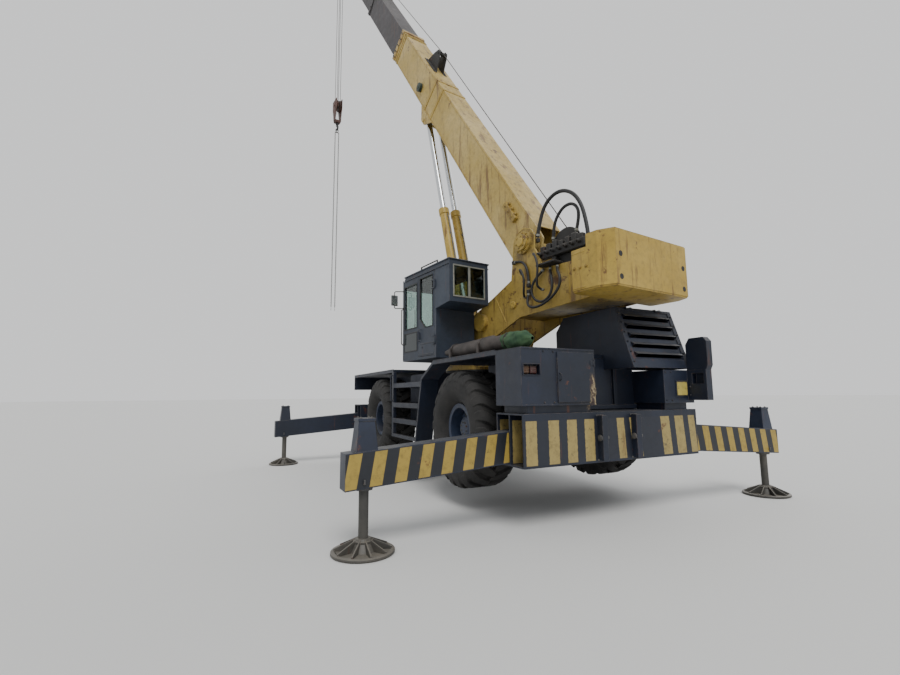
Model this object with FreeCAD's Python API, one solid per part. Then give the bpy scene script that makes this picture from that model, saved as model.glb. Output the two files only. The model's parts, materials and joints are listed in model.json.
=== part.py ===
"""Two-axle mobile crane, parked on its four outriggers with the boom raised.

Millimetres. +X is the vehicle's left, +Y its rear, +Z up. While it is built, the slewing
centre stands on the ground at the origin; at the end everything moves so that the origin
is the middle of the footprint on the ground.
"""
import FreeCAD
import Part
import math
import os

from FreeCAD import Vector

# Attitude
SLEW = 7.1
BOOM_ANGLE = 55.6

# Running fits and gaps
FIT = 0.05
SEAT = 0.3
PAD_GAP = 0.5

# Wheels and axles
FRONT_AXLE_Y = -2010
REAR_AXLE_Y = 1870
AXLE_Z = 1130
WHEEL_X = 1226
TYRE_R = 865
TYRE_HALF_W = 340
BEAD_R = 325
KINGPIN_X = 800
KINGPIN_R = 50
KNUCKLE_HALF_H = 150
FORK_T = 50
SPINDLE_R = 90

# Overall half width of boxes, decks and lockers
HALF_W = 1510

# Main frame
FRAME_HALF_W = 430
FRAME_T = 30
FRAME_TOP = 1700
FRAME_LOW = 1000
FRAME_ARCH = 1420
FRAME_END_LOW = 900

# Outrigger boxes and beams
BOX_HALF_W = HALF_W
BOX_LOW = 770
BOX_TOP = 1400
BOX_WALL = 20
REAR_BOX_Y = 3320
FRONT_BOX_Y = -3810
BEAM_W = 240
BEAM_SIDE_GAP = 10
BEAM_H = 380
BEAM_WALL = 16
BEAM_SLOPE = 4.3
BEAM_ROOT_Z = 990
BEAM_INNER_X = 760
BEAM_OUTER_X = 3500
JACK_X = 3270
JACK_ROD_R = 52.5
JACK_TUBE_R = 85
JACK_TUBE_LOW = 650
JACK_TOP = 1390
JACK_ROD_TOP = 900
FOOT_R = 300
FOOT_T = 28
FOOT_H = 150

# Decks, rear body and engine
DECK_HALF_W = HALF_W
DECK_T = 60
FRONT_DECK_Z = 2100
FRONT_DECK = (-4170, -1000)
REAR_DECK_Z = 2140
REAR_DECK = (1020, 3030)
BODY_REAR = 3600
LOCKER_LOW = 1490
LOCKER_TOP = 2190
HOOD_X = (30 - HALF_W, -330)
HOOD_TOP = 2870
HOOD_WALL = 25
LOUVRE_COUNT = 5

# Turntable, pivot and lift cylinders
RING_R = 700
RING_Z = 2050
RING_H = 50
PLATE_X = 480
PLATE_T = 40
PIVOT_Y = 1950
PIVOT_Z = 4130
PIVOT_R = 70
LIFT_BASE = (-250, 2600)
LIFT_S = 5600
LIFT_W = -660
LIFT_X = 160
LIFT_PIN_R = 45
LIFT_EYE_HALF = 75
BARREL_R = 105
BARREL_LEN = 3370
BARREL_END = 125
BARREL_COLLAR = 14
EAR_IN = LIFT_X - BARREL_R - BARREL_COLLAR - 8
EAR_OUT = LIFT_X + BARREL_R + BARREL_COLLAR + 8
EAR_T = 30
EAR_BOSS_R = 75
ROD_R = 70
ROD_LEN = 3380
GEAR_COVER = (790, 2940)

# Boom: section end along the boom, its length, half width, height and wall
BOOM_MID = -130
SECTIONS = (
    # name, end, length, half width, height, wall, collar
    ("boom_base", 8940, 8690, 302.5, 740, 14, 25),
    ("boom_2", 12450, 7600, 272.5, 680, 12, 20),
    ("boom_3", 15620, 7000, 244.5, 624, 10, 20),
    ("boom_4", 18600, 6600, 218.5, 572, 10, 0),
)
COLLAR_L = 150
WEAR_L = 300
HEAD_SHEAVE = (18830, -540)
TOP_SHEAVE = (18830, 150)
SHEAVE_R = 200
GROOVE_DEPTH = 24

# Hoist
FALLS_LEN = 6600
FALL_R = 9
SLING_LEN = 7100

# Cab, in the slewed frame
CAB_X = (620, 1450)
CAB_Y = (-600, 650)
CAB_REAR = 1090
CAB_Z = (2280, 3950)
CAB_STEP_Z = 3210
CAB_WALL = 40
DOOR_Y = (20, 610)
DOOR_Z = (2330, 3860)
DOOR_GAP = 6
HINGE_X = CAB_X[1] + 12
HINGE_Y = DOOR_Y[1] + 4
HINGE_R = 12
HINGE_PIN_R = 6
HINGE_H = 120
HINGE_Z = (2600, 3600)

pieces = {}


def block(x, y, z):
    return Part.makeBox(x[1] - x[0], y[1] - y[0], z[1] - z[0], Vector(x[0], y[0], z[0]))


def bar(radius, start, end):
    a = Vector(*start)
    run = Vector(*end) - a
    return Part.makeCylinder(radius, run.Length, a, run)


def prism(points, run):
    wire = Part.makePolygon([Vector(*p) for p in points + [points[0]]])
    return Part.Face(wire).extrude(Vector(*run))


def side_plate(outline, x):
    """Plate across x with its outline given as (y, z)."""
    return prism([(x[0], y, z) for y, z in outline], (x[1] - x[0], 0, 0))


def cross_plate(outline, y):
    """Plate across y with its outline given as (x, z)."""
    return prism([(x, y[0], z) for x, z in outline], (0, y[1] - y[0], 0))


def flat_plate(outline, z):
    """Plate across z with its outline given as (x, y)."""
    return prism([(x, y, z[0]) for x, y in outline], (0, 0, z[1] - z[0]))


def turned(profile, centre, axis):
    """Ring turned about an axis through centre; profile is (along, radius)."""
    along = Vector(*axis)
    out = Vector(0, 0, 1) if abs(along.z) < 0.5 else Vector(1, 0, 0)
    base = Vector(*centre)
    points = [base + along * a + out * r for a, r in profile + [profile[0]]]
    return Part.Face(Part.makePolygon(points)).revolve(base, along, 360)


def fused(solids):
    return solids[0].multiFuse(list(solids[1:])).removeSplitter()


def mirrored(shape):
    return shape.mirror(Vector(0, 0, 0), Vector(1, 0, 0))


def keep(node, frame, *solids):
    pieces[node] = (frame, solids)


# Carrier

def chassis_frame():
    outline = [
        (FRONT_BOX_Y + 290, FRAME_TOP), (REAR_BOX_Y - 290, FRAME_TOP),
        (REAR_BOX_Y - 290, FRAME_END_LOW), (2640, FRAME_END_LOW), (2300, FRAME_ARCH),
        (1440, FRAME_ARCH), (1150, FRAME_LOW), (-1290, FRAME_LOW), (-1580, FRAME_ARCH),
        (-2440, FRAME_ARCH), (-2780, FRAME_END_LOW), (FRONT_BOX_Y + 290, FRAME_END_LOW),
    ]
    walls = [
        side_plate(outline, (-FRAME_HALF_W, -FRAME_HALF_W + FRAME_T)),
        side_plate(outline, (FRAME_HALF_W - FRAME_T, FRAME_HALF_W)),
        block((-FRAME_HALF_W, FRAME_HALF_W), (FRONT_BOX_Y + 290, REAR_BOX_Y - 290),
              (FRAME_TOP - FRAME_T, FRAME_TOP)),
    ]
    for y, low in ((-3300, 900), (-2780, 900), (-1290, 1000), (-600, 1000), (600, 1000),
                   (1120, 1000), (2640, 900)):
        walls.append(block((-FRAME_HALF_W + 10, FRAME_HALF_W - 10), (y, y + FRAME_T),
                           (low, FRAME_TOP - 10)))
    keep("chassis_frame", "carrier", fused(walls))


def slew_ring():
    pedestal = turned([(0, 480), (0, 580), (RING_Z - FRAME_TOP, 580),
                       (RING_Z - FRAME_TOP, RING_R), (RING_Z - FRAME_TOP + RING_H, RING_R),
                       (RING_Z - FRAME_TOP + RING_H, 480)], (0, 0, FRAME_TOP), (0, 0, 1))
    keep("slew_ring", "carrier", pedestal)


def outrigger_box(node, centre_y):
    half = BEAM_W + 2 * BEAM_SIDE_GAP + 1.5 * BOX_WALL
    box = block((-BOX_HALF_W, BOX_HALF_W), (centre_y - half, centre_y + half),
                (BOX_LOW, BOX_TOP))
    for side in (-1, 1):
        y = tunnel_y(centre_y, side)
        box = box.cut(block((-BOX_HALF_W - 1, BOX_HALF_W + 1), (y[0], y[1]),
                            (BOX_LOW + BOX_WALL, BOX_TOP - BOX_WALL)))
    pads = []
    for side in (-1, 1):
        y0, y1 = tunnel_y(centre_y, side)
        root = (BOX_HALF_W - 160, BOX_HALF_W)
        inner = (BEAM_INNER_X, BEAM_INNER_X + 200)
        low = [(side * x, beam_mid(x) - BEAM_H / 2 - PAD_GAP) for x in root]
        low += [(side * root[1], BOX_LOW + 1), (side * root[0], BOX_LOW + 1)]
        top = [(side * x, beam_mid(x) + BEAM_H / 2 + PAD_GAP) for x in inner]
        top += [(side * inner[1], BOX_TOP - 1), (side * inner[0], BOX_TOP - 1)]
        pads += [cross_plate(low, (y0 - 1, y1 + 1)), cross_plate(top, (y0 - 1, y1 + 1))]
    keep(node, "carrier", fused([box] + pads))


def tunnel_y(centre_y, side):
    """The left beam runs in the tunnel towards the front, the right one behind it."""
    pitch = (BEAM_W + 2 * BEAM_SIDE_GAP + BOX_WALL) / 2
    mid = centre_y - side * pitch
    half = BEAM_W / 2 + BEAM_SIDE_GAP
    return mid - half, mid + half


def beam_mid(x):
    """Height of the beam's middle at a distance x out from the vehicle's middle."""
    return BEAM_ROOT_Z - (x - BOX_HALF_W) * math.tan(math.radians(BEAM_SLOPE))


def outrigger(corner, side, centre_y):
    y0, y1 = tunnel_y(centre_y, side)
    y0, y1 = y0 + BEAM_SIDE_GAP, y1 - BEAM_SIDE_GAP
    mid_y = (y0 + y1) / 2
    half = BEAM_H / 2

    def slab(x0, x1, grow, y):
        ends = [(x0, beam_mid(x0) - half + grow), (x1, beam_mid(x1) - half + grow),
                (x1, beam_mid(x1) + half - grow), (x0, beam_mid(x0) + half - grow)]
        return cross_plate(ends, y)

    beam = slab(BEAM_INNER_X, BEAM_OUTER_X, 0, (y0, y1))
    beam = beam.cut(slab(BEAM_INNER_X - 1, JACK_X - JACK_TUBE_R - 25, BEAM_WALL,
                         (y0 + BEAM_WALL, y1 - BEAM_WALL)))
    tower_low = beam_mid(JACK_X) + half - 20
    base = Part.makePolygon([Vector(JACK_X + i * 120, mid_y + j * 118, tower_low)
                             for i, j in ((-1, -1), (1, -1), (1, 1), (-1, 1), (-1, -1))])
    top = Part.makePolygon([Vector(JACK_X + i * 88, mid_y + j * 88, JACK_TOP - 30)
                            for i, j in ((-1, -1), (1, -1), (1, 1), (-1, 1), (-1, -1))])
    tower = Part.makeLoft([base, top], True)
    cap = block((JACK_X - 95, JACK_X + 95), (mid_y - 95, mid_y + 95),
                (JACK_TOP - 30, JACK_TOP))
    sleeve = bar(JACK_TUBE_R, (JACK_X, mid_y, JACK_TUBE_LOW), (JACK_X, mid_y, JACK_TOP - 10))
    bore = bar(JACK_ROD_R + FIT, (JACK_X, mid_y, JACK_TUBE_LOW - 1),
               (JACK_X, mid_y, JACK_TOP - 25))
    beam = fused([beam, tower, cap, sleeve]).cut(bore)

    rod = bar(JACK_ROD_R, (JACK_X, mid_y, FOOT_H - 20), (JACK_X, mid_y, JACK_ROD_TOP))
    octagon = [(JACK_X + FOOT_R * math.cos(math.radians(22.5 + 45 * i)),
                mid_y + FOOT_R * math.sin(math.radians(22.5 + 45 * i))) for i in range(8)]
    plate = flat_plate(octagon, (0, FOOT_T))
    socket = turned([(FOOT_T - 1, 0), (FOOT_T - 1, 150), (FOOT_H, 80), (FOOT_H, 0)],
                    (JACK_X, mid_y, 0), (0, 0, 1))
    foot = fused([rod, plate, socket])
    if side < 0:
        beam, foot = mirrored(beam), mirrored(foot)
    keep("beam_" + corner, "carrier", beam)
    keep("jack_" + corner, "carrier", foot)


def axle(node, y):
    reach = KINGPIN_X - 120
    housing = turned([(-reach, 0), (-reach, 95), (-320, 120), (-200, 240), (-90, 270),
                      (90, 270), (200, 240), (320, 120), (reach, 95), (reach, 0)],
                     (0, y, AXLE_Z), (1, 0, 0))
    solids = [housing]
    for side in (-1, 1):
        back = block(sorted((side * (reach - 60), side * (reach - 10))), (y - 90, y + 90),
                     (AXLE_Z - KNUCKLE_HALF_H - FORK_T - 1, AXLE_Z + KNUCKLE_HALF_H + FORK_T + 1))
        solids.append(back)
        for up in (-1, 1):
            z = sorted((AXLE_Z + up * (KNUCKLE_HALF_H + 1),
                        AXLE_Z + up * (KNUCKLE_HALF_H + FORK_T + 1)))
            arm = block(sorted((side * (reach - 60), side * KINGPIN_X)), (y - 90, y + 90), z)
            nose = bar(90, (side * KINGPIN_X, y, z[0]), (side * KINGPIN_X, y, z[1]))
            hole = bar(KINGPIN_R + FIT, (side * KINGPIN_X, y, z[0] - 1),
                       (side * KINGPIN_X, y, z[1] + 1))
            solids.append(arm.fuse(nose).cut(hole))
        saddle = block(sorted((side * 250, side * 400)), (y - 110, y + 110),
                       (AXLE_Z + 60, FRAME_ARCH))
        solids.append(saddle)
    keep(node, "carrier", fused(solids))


def knuckle(corner, side, y):
    x = KINGPIN_X
    core = block((x - 85, x + 85), (y - 80, y + 80),
                 (AXLE_Z - KNUCKLE_HALF_H, AXLE_Z + KNUCKLE_HALF_H))
    pin = bar(KINGPIN_R, (x, y, AXLE_Z - KNUCKLE_HALF_H - FORK_T - 1),
              (x, y, AXLE_Z + KNUCKLE_HALF_H + FORK_T + 1))
    flange = bar(140, (x + 60, y, AXLE_Z), (x + 110, y, AXLE_Z))
    spindle = bar(SPINDLE_R, (x + 60, y, AXLE_Z), (WHEEL_X - 20, y, AXLE_Z))
    solid = fused([core, pin, flange, spindle])
    keep("knuckle_" + corner, "carrier", solid if side > 0 else mirrored(solid))


def wheel(corner, side, y):
    centre = (WHEEL_X, y, AXLE_Z)
    half = [(200, BEAD_R), (200, 384), (256, 420), (310, 490), (TYRE_HALF_W, 600), (335, 700),
            (315, 780), (285, 835), (235, TYRE_R)]
    profile = [(-a, r) for a, r in half] + [(a, r) for a, r in reversed(half)]
    tyre = turned(profile, centre, (1, 0, 0))
    rim_half = 222
    rim = turned([(-rim_half, BEAD_R - 20), (-rim_half, 372), (-200 - SEAT, 372),
                  (-200 - SEAT, BEAD_R - SEAT), (200 + SEAT, BEAD_R - SEAT),
                  (200 + SEAT, 372), (rim_half, 372), (rim_half, BEAD_R - 20)],
                 centre, (1, 0, 0))
    bore = SPINDLE_R + FIT
    disc = turned([(-190, bore), (-190, 170), (-60, 170), (0, BEAD_R - 10),
                   (30, BEAD_R - 10), (-10, 190), (120, 170), (150, 120), (150, 0),
                   (0, 0), (0, bore)],
                  centre, (1, 0, 0))
    hub = fused([rim, disc])
    if side < 0:
        tyre, hub = mirrored(tyre), mirrored(hub)
    keep("tyre_" + corner, "carrier", tyre)
    keep("rim_" + corner, "carrier", hub)


def front_deck():
    y0, y1 = FRONT_DECK
    top = FRONT_DECK_Z + DECK_T
    plate = block((-DECK_HALF_W, DECK_HALF_W), (y0, y1), (FRONT_DECK_Z, top))
    nose = block((-DECK_HALF_W, DECK_HALF_W), (y0, y0 + 40), (FRONT_DECK_Z - 320, top))
    webs = [block(sorted((s * 380, s * 420)), (y0 + 30, y1 - 60),
                  (FRAME_TOP, FRONT_DECK_Z + 1)) for s in (-1, 1)]
    keep("front_deck", "carrier", fused([plate, nose] + webs))


def rear_deck():
    y0, y1 = REAR_DECK
    top = REAR_DECK_Z + DECK_T
    plate = block((-DECK_HALF_W, DECK_HALF_W), (y0, y1), (REAR_DECK_Z, top))
    solids = [plate]
    for s in (-1, 1):
        web = block(sorted((s * 380, s * 420)), (y0, y1), (FRAME_TOP, REAR_DECK_Z + 1))
        solids.append(web)
        slant = [(y0 + 1, top), (490, 1930), (190, 760), (230, 760), (530, 1905),
                 (y0 + 1, top - DECK_T)]
        x = sorted((s * 1180, s * DECK_HALF_W))
        solids.append(side_plate(slant, x))
    keep("rear_deck", "carrier", fused(solids))


def side_tanks():
    tanks = []
    for s in (-1, 1):
        outline = [(s * FRAME_HALF_W, 1120), (s * 1170, 1120), (s * 1170, 2040),
                   (s * 740, 2040), (s * 740, FRAME_TOP - 10), (s * FRAME_HALF_W, FRAME_TOP - 10)]
        tanks.append(cross_plate(outline, (-880, 180)))
    keep("side_tanks", "carrier", *tanks)


def steps():
    ladders = []
    for s in (-1, 1):
        x = sorted((s * 1440, s * DECK_HALF_W))
        parts = [block(x, (-1080, -990), (800, FRONT_DECK_Z)),
                 block(x, (-1080, 200), (800, 860))]
        wide = sorted((s * 1250, s * DECK_HALF_W))
        for z in (1080, 1390, 1780):
            parts.append(block(wide, (-1000, 190 - SEAT + (z - 760) * 0.2564), (z, z + 90)))
        ladders.append(fused(parts))
    keep("steps", "carrier", *ladders)


def rear_lockers():
    y0 = REAR_DECK[1]
    left = block((370, DECK_HALF_W), (y0, BODY_REAR), (LOCKER_LOW, LOCKER_TOP))
    slot = block((1240, 1480), (BODY_REAR - 60, BODY_REAR + 1), (1860, 1990))
    left = left.cut(slot)
    left = fused([left, block((400, 980), (BODY_REAR - 1, BODY_REAR + 20), (1530, 2150)),
                  block((420, 1400), (3050, 3550), (BOX_TOP, LOCKER_LOW + 1))])
    right = block((-DECK_HALF_W, -900), (y0, BODY_REAR), (LOCKER_LOW, 1960))
    wing = block((-DECK_HALF_W, -1390), (BODY_REAR - 1, 3900), (1530, 1960))
    wing = wing.cut(block((-1480, -1389), (3680, 3860), (1760, 1910)))
    right = fused([right, wing, block((-1400, -950), (3050, 3550), (BOX_TOP, LOCKER_LOW + 1))])
    keep("rear_lockers", "carrier", left, right)


def engine_hood():
    deck = REAR_DECK_Z + DECK_T
    outline = [(2000, deck), (2000, 2650), (2200, HOOD_TOP), (3300, HOOD_TOP),
               (BODY_REAR, 1980), (REAR_DECK[1] + 1, 1980), (REAR_DECK[1] + 1, deck)]
    w = HOOD_WALL
    inside = [(2000 + w, deck - 1), (2000 + w, 2650 - w / 2), (2200 + w / 2, HOOD_TOP - w),
              (3300 - w, HOOD_TOP - w), (BODY_REAR - 1.2 * w, 1979), (REAR_DECK[1] + w, 1979),
              (REAR_DECK[1] + w, deck - 1)]
    hood = side_plate(outline, HOOD_X)
    hood = hood.cut(side_plate(inside, (HOOD_X[0] + w, HOOD_X[1] - w)))
    for i in range(LOUVRE_COUNT):
        z = 2130 + i * 140
        hood = hood.cut(block((HOOD_X[0] + 110, HOOD_X[1] - 110), (3150, 3700), (z, z + 72)))
    keep("engine_hood", "carrier", hood)


def engine_block():
    deck = REAR_DECK_Z + DECK_T
    keep("engine_block", "carrier", block((-1200, -600), (2160, 2900), (deck, 2640)))


def silencer():
    deck = REAR_DECK_Z + DECK_T
    z = deck + 130
    body = turned([(0, 0), (0, 45), (140, 60), (320, 105), (1500, 115), (1560, 60), (1560, 0)],
                  (1300, 1150, z), (0, 1, 0))
    saddles = [block((1250, 1350), (y, y + 40), (deck, z)) for y in (1500, 2400)]
    keep("silencer", "carrier", fused([body] + saddles))


def tow_hitch():
    y0 = REAR_BOX_Y + BEAM_W + 2 * BEAM_SIDE_GAP + 1.5 * BOX_WALL
    post = []
    for x in (330, -260):
        ear = block((x - 45, x + 45), (y0, y0 + 90), (800, 1360))
        post.append(ear.cut(bar(30, (x - 60, y0 + 55, 1080), (x + 60, y0 + 55, 1080))))
    keep("tow_hitch", "carrier", *post)


# Superstructure, drawn with the boom pointing straight ahead

def turntable_frame():
    outline = [(-640, 2180), (800, 2180), (840, 2240), (1010, 2600), (1800, 2905), (3270, 2985),
               (3270, 3560), (2400, 3600), (2190, 3980), (2200, 4200), (2110, 4330),
               (1950, 4390), (1790, 4330), (1700, 4200), (1620, 3560), (1060, 3320),
               (-130, 2860), (-330, 2800), (-430, 2680), (-430, 2520), (-640, 2380)]
    solids = [side_plate(outline, sorted((s * PLATE_X, s * (PLATE_X + PLATE_T))))
              for s in (-1, 1)]
    top = RING_Z + RING_H + PAD_GAP
    solids.append(bar(RING_R, (0, 0, top), (0, 0, 2190)))
    solids.append(block((-PLATE_X - 1, PLATE_X + 1), (-640, 800), (2140, 2200)))
    solids.append(block((-PLATE_X - 1, PLATE_X + 1), (1300, 3270), (2985, 3020)))
    solids.append(block((-PLATE_X - 1, PLATE_X + 1), (2450, 3270), (3540, 3575)))
    y, z = LIFT_BASE
    stub_in = LIFT_X - BARREL_R - 10
    stub_out = LIFT_X + BARREL_R + 10
    rib = [(y - 200, 2190), (y + 500, 2190), (y + 130, z + 110), (y - 110, z + 110)]
    solids.append(side_plate(rib, (-stub_in, stub_in)))
    for s in (-1, 1):
        solids.append(bar(60, (s * stub_out, y, z), (s * (PLATE_X + 80), y, z)))
        solids.append(bar(160, (s * (PLATE_X + PLATE_T - 1), *GEAR_COVER),
                          (s * (PLATE_X + PLATE_T + 90), *GEAR_COVER)))
    pin = bar(PIVOT_R, (-PLATE_X - 130, PIVOT_Y, PIVOT_Z), (PLATE_X + 130, PIVOT_Y, PIVOT_Z))
    solids.append(pin)
    for s in (-1, 1):
        solids.append(bar(190, (s * (PLATE_X + PLATE_T - 1), PIVOT_Y, PIVOT_Z),
                          (s * (PLATE_X + PLATE_T + 45), PIVOT_Y, PIVOT_Z)))
        solids.append(bar(140, (s * (PLATE_X + PLATE_T), PIVOT_Y, PIVOT_Z),
                          (s * (PLATE_X + 130), PIVOT_Y, PIVOT_Z)))
    keep("turntable_frame", "upper", fused(solids))


def counterweight():
    plan = [(-900, 3270 + SEAT), (900, 3270 + SEAT), (900, 3740), (810, 3930), (-810, 3930),
            (-900, 3740)]
    low = flat_plate(plan, (2980, 3450))
    back = [(-900, 3500), (900, 3500), (900, 3740), (810, 3930), (-810, 3930), (-900, 3740)]
    keep("counterweight", "upper", fused([low, flat_plate(back, (3449, 3700))]))


def cab_profile(inset):
    """Side outline of the cab as (y, z), set in by a wall's thickness."""
    return [(CAB_Y[0] + inset, CAB_Z[0] + inset), (CAB_Y[1] - inset, CAB_Z[0] + inset),
            (CAB_Y[1] - inset, CAB_STEP_Z - 60 + inset), (CAB_REAR - inset, CAB_STEP_Z + inset),
            (CAB_REAR - inset, CAB_Z[1] - inset), (CAB_Y[0] + 90 + inset, CAB_Z[1] - inset),
            (CAB_Y[0] + inset, CAB_Z[1] - 140 - inset)]


def cab_windows(play):
    """Window openings through the cab's walls, each as x, y and z ranges, less a play."""
    x0, x1 = CAB_X
    p = play
    return [
        # left front pane, right pane, rear pane left and right, windscreen
        ((x1 - CAB_WALL, x1), (CAB_Y[0] + 70 + p, -40 - p), (2900 + p, 3740 - p)),
        ((x0, x0 + CAB_WALL), (CAB_Y[0] + 90 + p, 560 - p), (2950 + p, 3800 - p)),
        ((x0 + 90 + p, 1020 - p), (CAB_REAR - CAB_WALL, CAB_REAR), (3310 + p, 3850 - p)),
        ((1050 + p, x1 - 90 - p), (CAB_REAR - CAB_WALL, CAB_REAR), (3310 + p, 3850 - p)),
        ((x0 + 70 + p, x1 - 70 - p), (CAB_Y[0], CAB_Y[0] + CAB_WALL), (2560 + p, 3720 - p)),
    ]


def widened(box, axis, by):
    return [(lo - by, hi + by) if i == axis else (lo, hi) for i, (lo, hi) in enumerate(box)]


def thin_axis(box):
    spans = [hi - lo for lo, hi in box]
    return spans.index(min(spans))


def cab():
    shell = side_plate(cab_profile(0), CAB_X)
    shell = shell.cut(side_plate(cab_profile(CAB_WALL), (CAB_X[0] + CAB_WALL, CAB_X[1] - CAB_WALL)))
    for box in cab_windows(0):
        shell = shell.cut(block(*widened(box, thin_axis(box), 5)))
    shell = shell.cut(block((CAB_X[1] - CAB_WALL - 5, CAB_X[1] + 5), DOOR_Y, DOOR_Z))
    mounts = [block((PLATE_X + PLATE_T, CAB_X[0] + 1), (y, y + 160), (2300, 2420))
              for y in (-450, 350)]
    for z in HINGE_Z:
        low, high = z - HINGE_H / 2, z + HINGE_H / 2
        knuckle_block = block((CAB_X[1] - 1, HINGE_X + HINGE_R), (HINGE_Y, HINGE_Y + 26), (low, high))
        barrel = bar(HINGE_R, (HINGE_X, HINGE_Y, low), (HINGE_X, HINGE_Y, high))
        bore = bar(HINGE_PIN_R + FIT, (HINGE_X, HINGE_Y, low - 1), (HINGE_X, HINGE_Y, high + 1))
        mounts.append(knuckle_block.fuse(barrel).cut(bore))
    keep("cab_shell", "upper", fused([shell] + mounts))
    panes = []
    for box in cab_windows(SEAT):
        axis = thin_axis(box)
        lo, hi = box[axis]
        mid = (lo + hi) / 2
        panes.append(block(*[(mid - 4, mid + 4) if i == axis else span
                             for i, span in enumerate(box)]))
    keep("cab_glass", "upper", *panes)
    x = (CAB_X[1] - CAB_WALL, CAB_X[1])
    y = (DOOR_Y[0] + DOOR_GAP, DOOR_Y[1] - DOOR_GAP)
    z = (DOOR_Z[0] + DOOR_GAP, DOOR_Z[1] - DOOR_GAP)
    door = block(x, y, z)
    view = [(y[0] + 60, 3020), (y[0] + 240, 2860), (y[1] - 60, 2860), (y[1] - 60, z[1] - 60),
            (y[0] + 60, z[1] - 60)]
    door = door.cut(side_plate(view, (x[0] - 5, x[1] + 5)))
    handle = block((x[1] - 1, x[1] + 30), (y[0] + 20, y[0] + 45), (2650, 2790))
    hinges = []
    for mid in HINGE_Z:
        low, high = mid - HINGE_H / 2 - 1, mid + HINGE_H / 2 + 1
        hinges.append(bar(HINGE_PIN_R, (HINGE_X, HINGE_Y, low - 20), (HINGE_X, HINGE_Y, high + 20)))
        for span in ((low - 20, low), (high, high + 20)):
            hinges.append(block((x[1] - 1, HINGE_X + HINGE_R), (HINGE_Y - 70, y[1]), span))
            hinges.append(block((x[1] + 2, HINGE_X + HINGE_R), (HINGE_Y - 70, HINGE_Y), span))
            hinges.append(bar(HINGE_R, (HINGE_X, HINGE_Y, span[0]), (HINGE_X, HINGE_Y, span[1])))
    keep("cab_door", "upper", fused([door, handle] + hinges))
    grow = SEAT
    pane = [(a + (grow if a < 300 else -grow), b + (grow if b < 3100 else -grow))
            for a, b in view]
    keep("cab_door_glass", "upper", side_plate(pane, (x[0] + 16, x[0] + 24)))
    cushion = fused([block((860, 1260), (-40, 420), (2700, 2820)),
                     block((860, 1260), (330, 430), (2810, 3400)),
                     block((980, 1140), (100, 300), (CAB_Z[0] + CAB_WALL, 2701))])
    keep("cab_seat", "upper", cushion)


def winch():
    y, z = 2700, 3900
    drum = turned([(-330, 0), (-330, 300), (-300, 300), (-300, 180), (300, 180), (300, 300),
                   (330, 300), (330, 0)], (0, y, z), (1, 0, 0))
    solids = [drum]
    for s in (-1, 1):
        ear = [(y - 200, 3575), (y + 200, 3575), (y + 70, z + 60), (y - 70, z + 60)]
        solids.append(side_plate(ear, sorted((s * 329, s * 380))))
    keep("winch", "upper", fused(solids))


# Boom, drawn level with s forward along -Y from its pivot and w up

def boom_place(s, w, x=0.0):
    return (x, PIVOT_Y - s, PIVOT_Z + w)


def boom_block(s, w, x):
    return block(x, (PIVOT_Y - s[1], PIVOT_Y - s[0]), (PIVOT_Z + w[0], PIVOT_Z + w[1]))


def boom_plate(outline, x):
    return side_plate([(PIVOT_Y - s, PIVOT_Z + w) for s, w in outline], x)


def boom_bar(radius, s, w, x):
    return bar(radius, boom_place(s, w, x[0]), boom_place(s, w, x[1]))


def boom_sections():
    outer = None
    for name, end, length, half, height, wall, collar in SECTIONS:
        low, high = BOOM_MID - height / 2, BOOM_MID + height / 2
        start = end - length
        solid = boom_block((start, end), (low, high), (-half, half))
        hollow = boom_block((start - 1, end + 1), (low + wall, high - wall),
                            (-half + wall, half - wall))
        extras = []
        if collar:
            extras.append(boom_block((end - COLLAR_L, end), (low - collar, high + collar),
                                     (-half - collar, half + collar)))
        if outer:
            room_low, room_high, room_half = outer
            extras.append(boom_block((start, start + WEAR_L), (high - 1, room_high - PAD_GAP),
                                     (-half + 40, half - 40)))
            for s in (-1, 1):
                extras.append(boom_block((start, start + WEAR_L), (low + 60, high - 60),
                                         sorted((s * (half - 1), s * (room_half - PAD_GAP)))))
        outer = (low + wall, high - wall, half - wall)
        solid = fused([solid] + extras) if extras else solid
        solid = solid.cut(hollow)
        extras = []
        i = [row[0] for row in SECTIONS].index(name)
        if i + 1 < len(SECTIONS):
            nxt = SECTIONS[i + 1]
            inner_low = BOOM_MID - nxt[4] / 2
            extras.append(boom_block((end - WEAR_L, end), (low + wall - 1, inner_low - PAD_GAP),
                                     (-nxt[3] + 40, nxt[3] - 40)))
        if name == "boom_base":
            extras += base_details(low, high, half)
        if name == "boom_4":
            extras += head_details(low, high, half)
        if extras:
            solid = fused([solid] + extras)
        if name == "boom_base":
            solid = solid.cut(boom_bar(PIVOT_R + FIT, 0, 0, (-PLATE_X, PLATE_X)))
        keep(name, "boom", solid)


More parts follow.
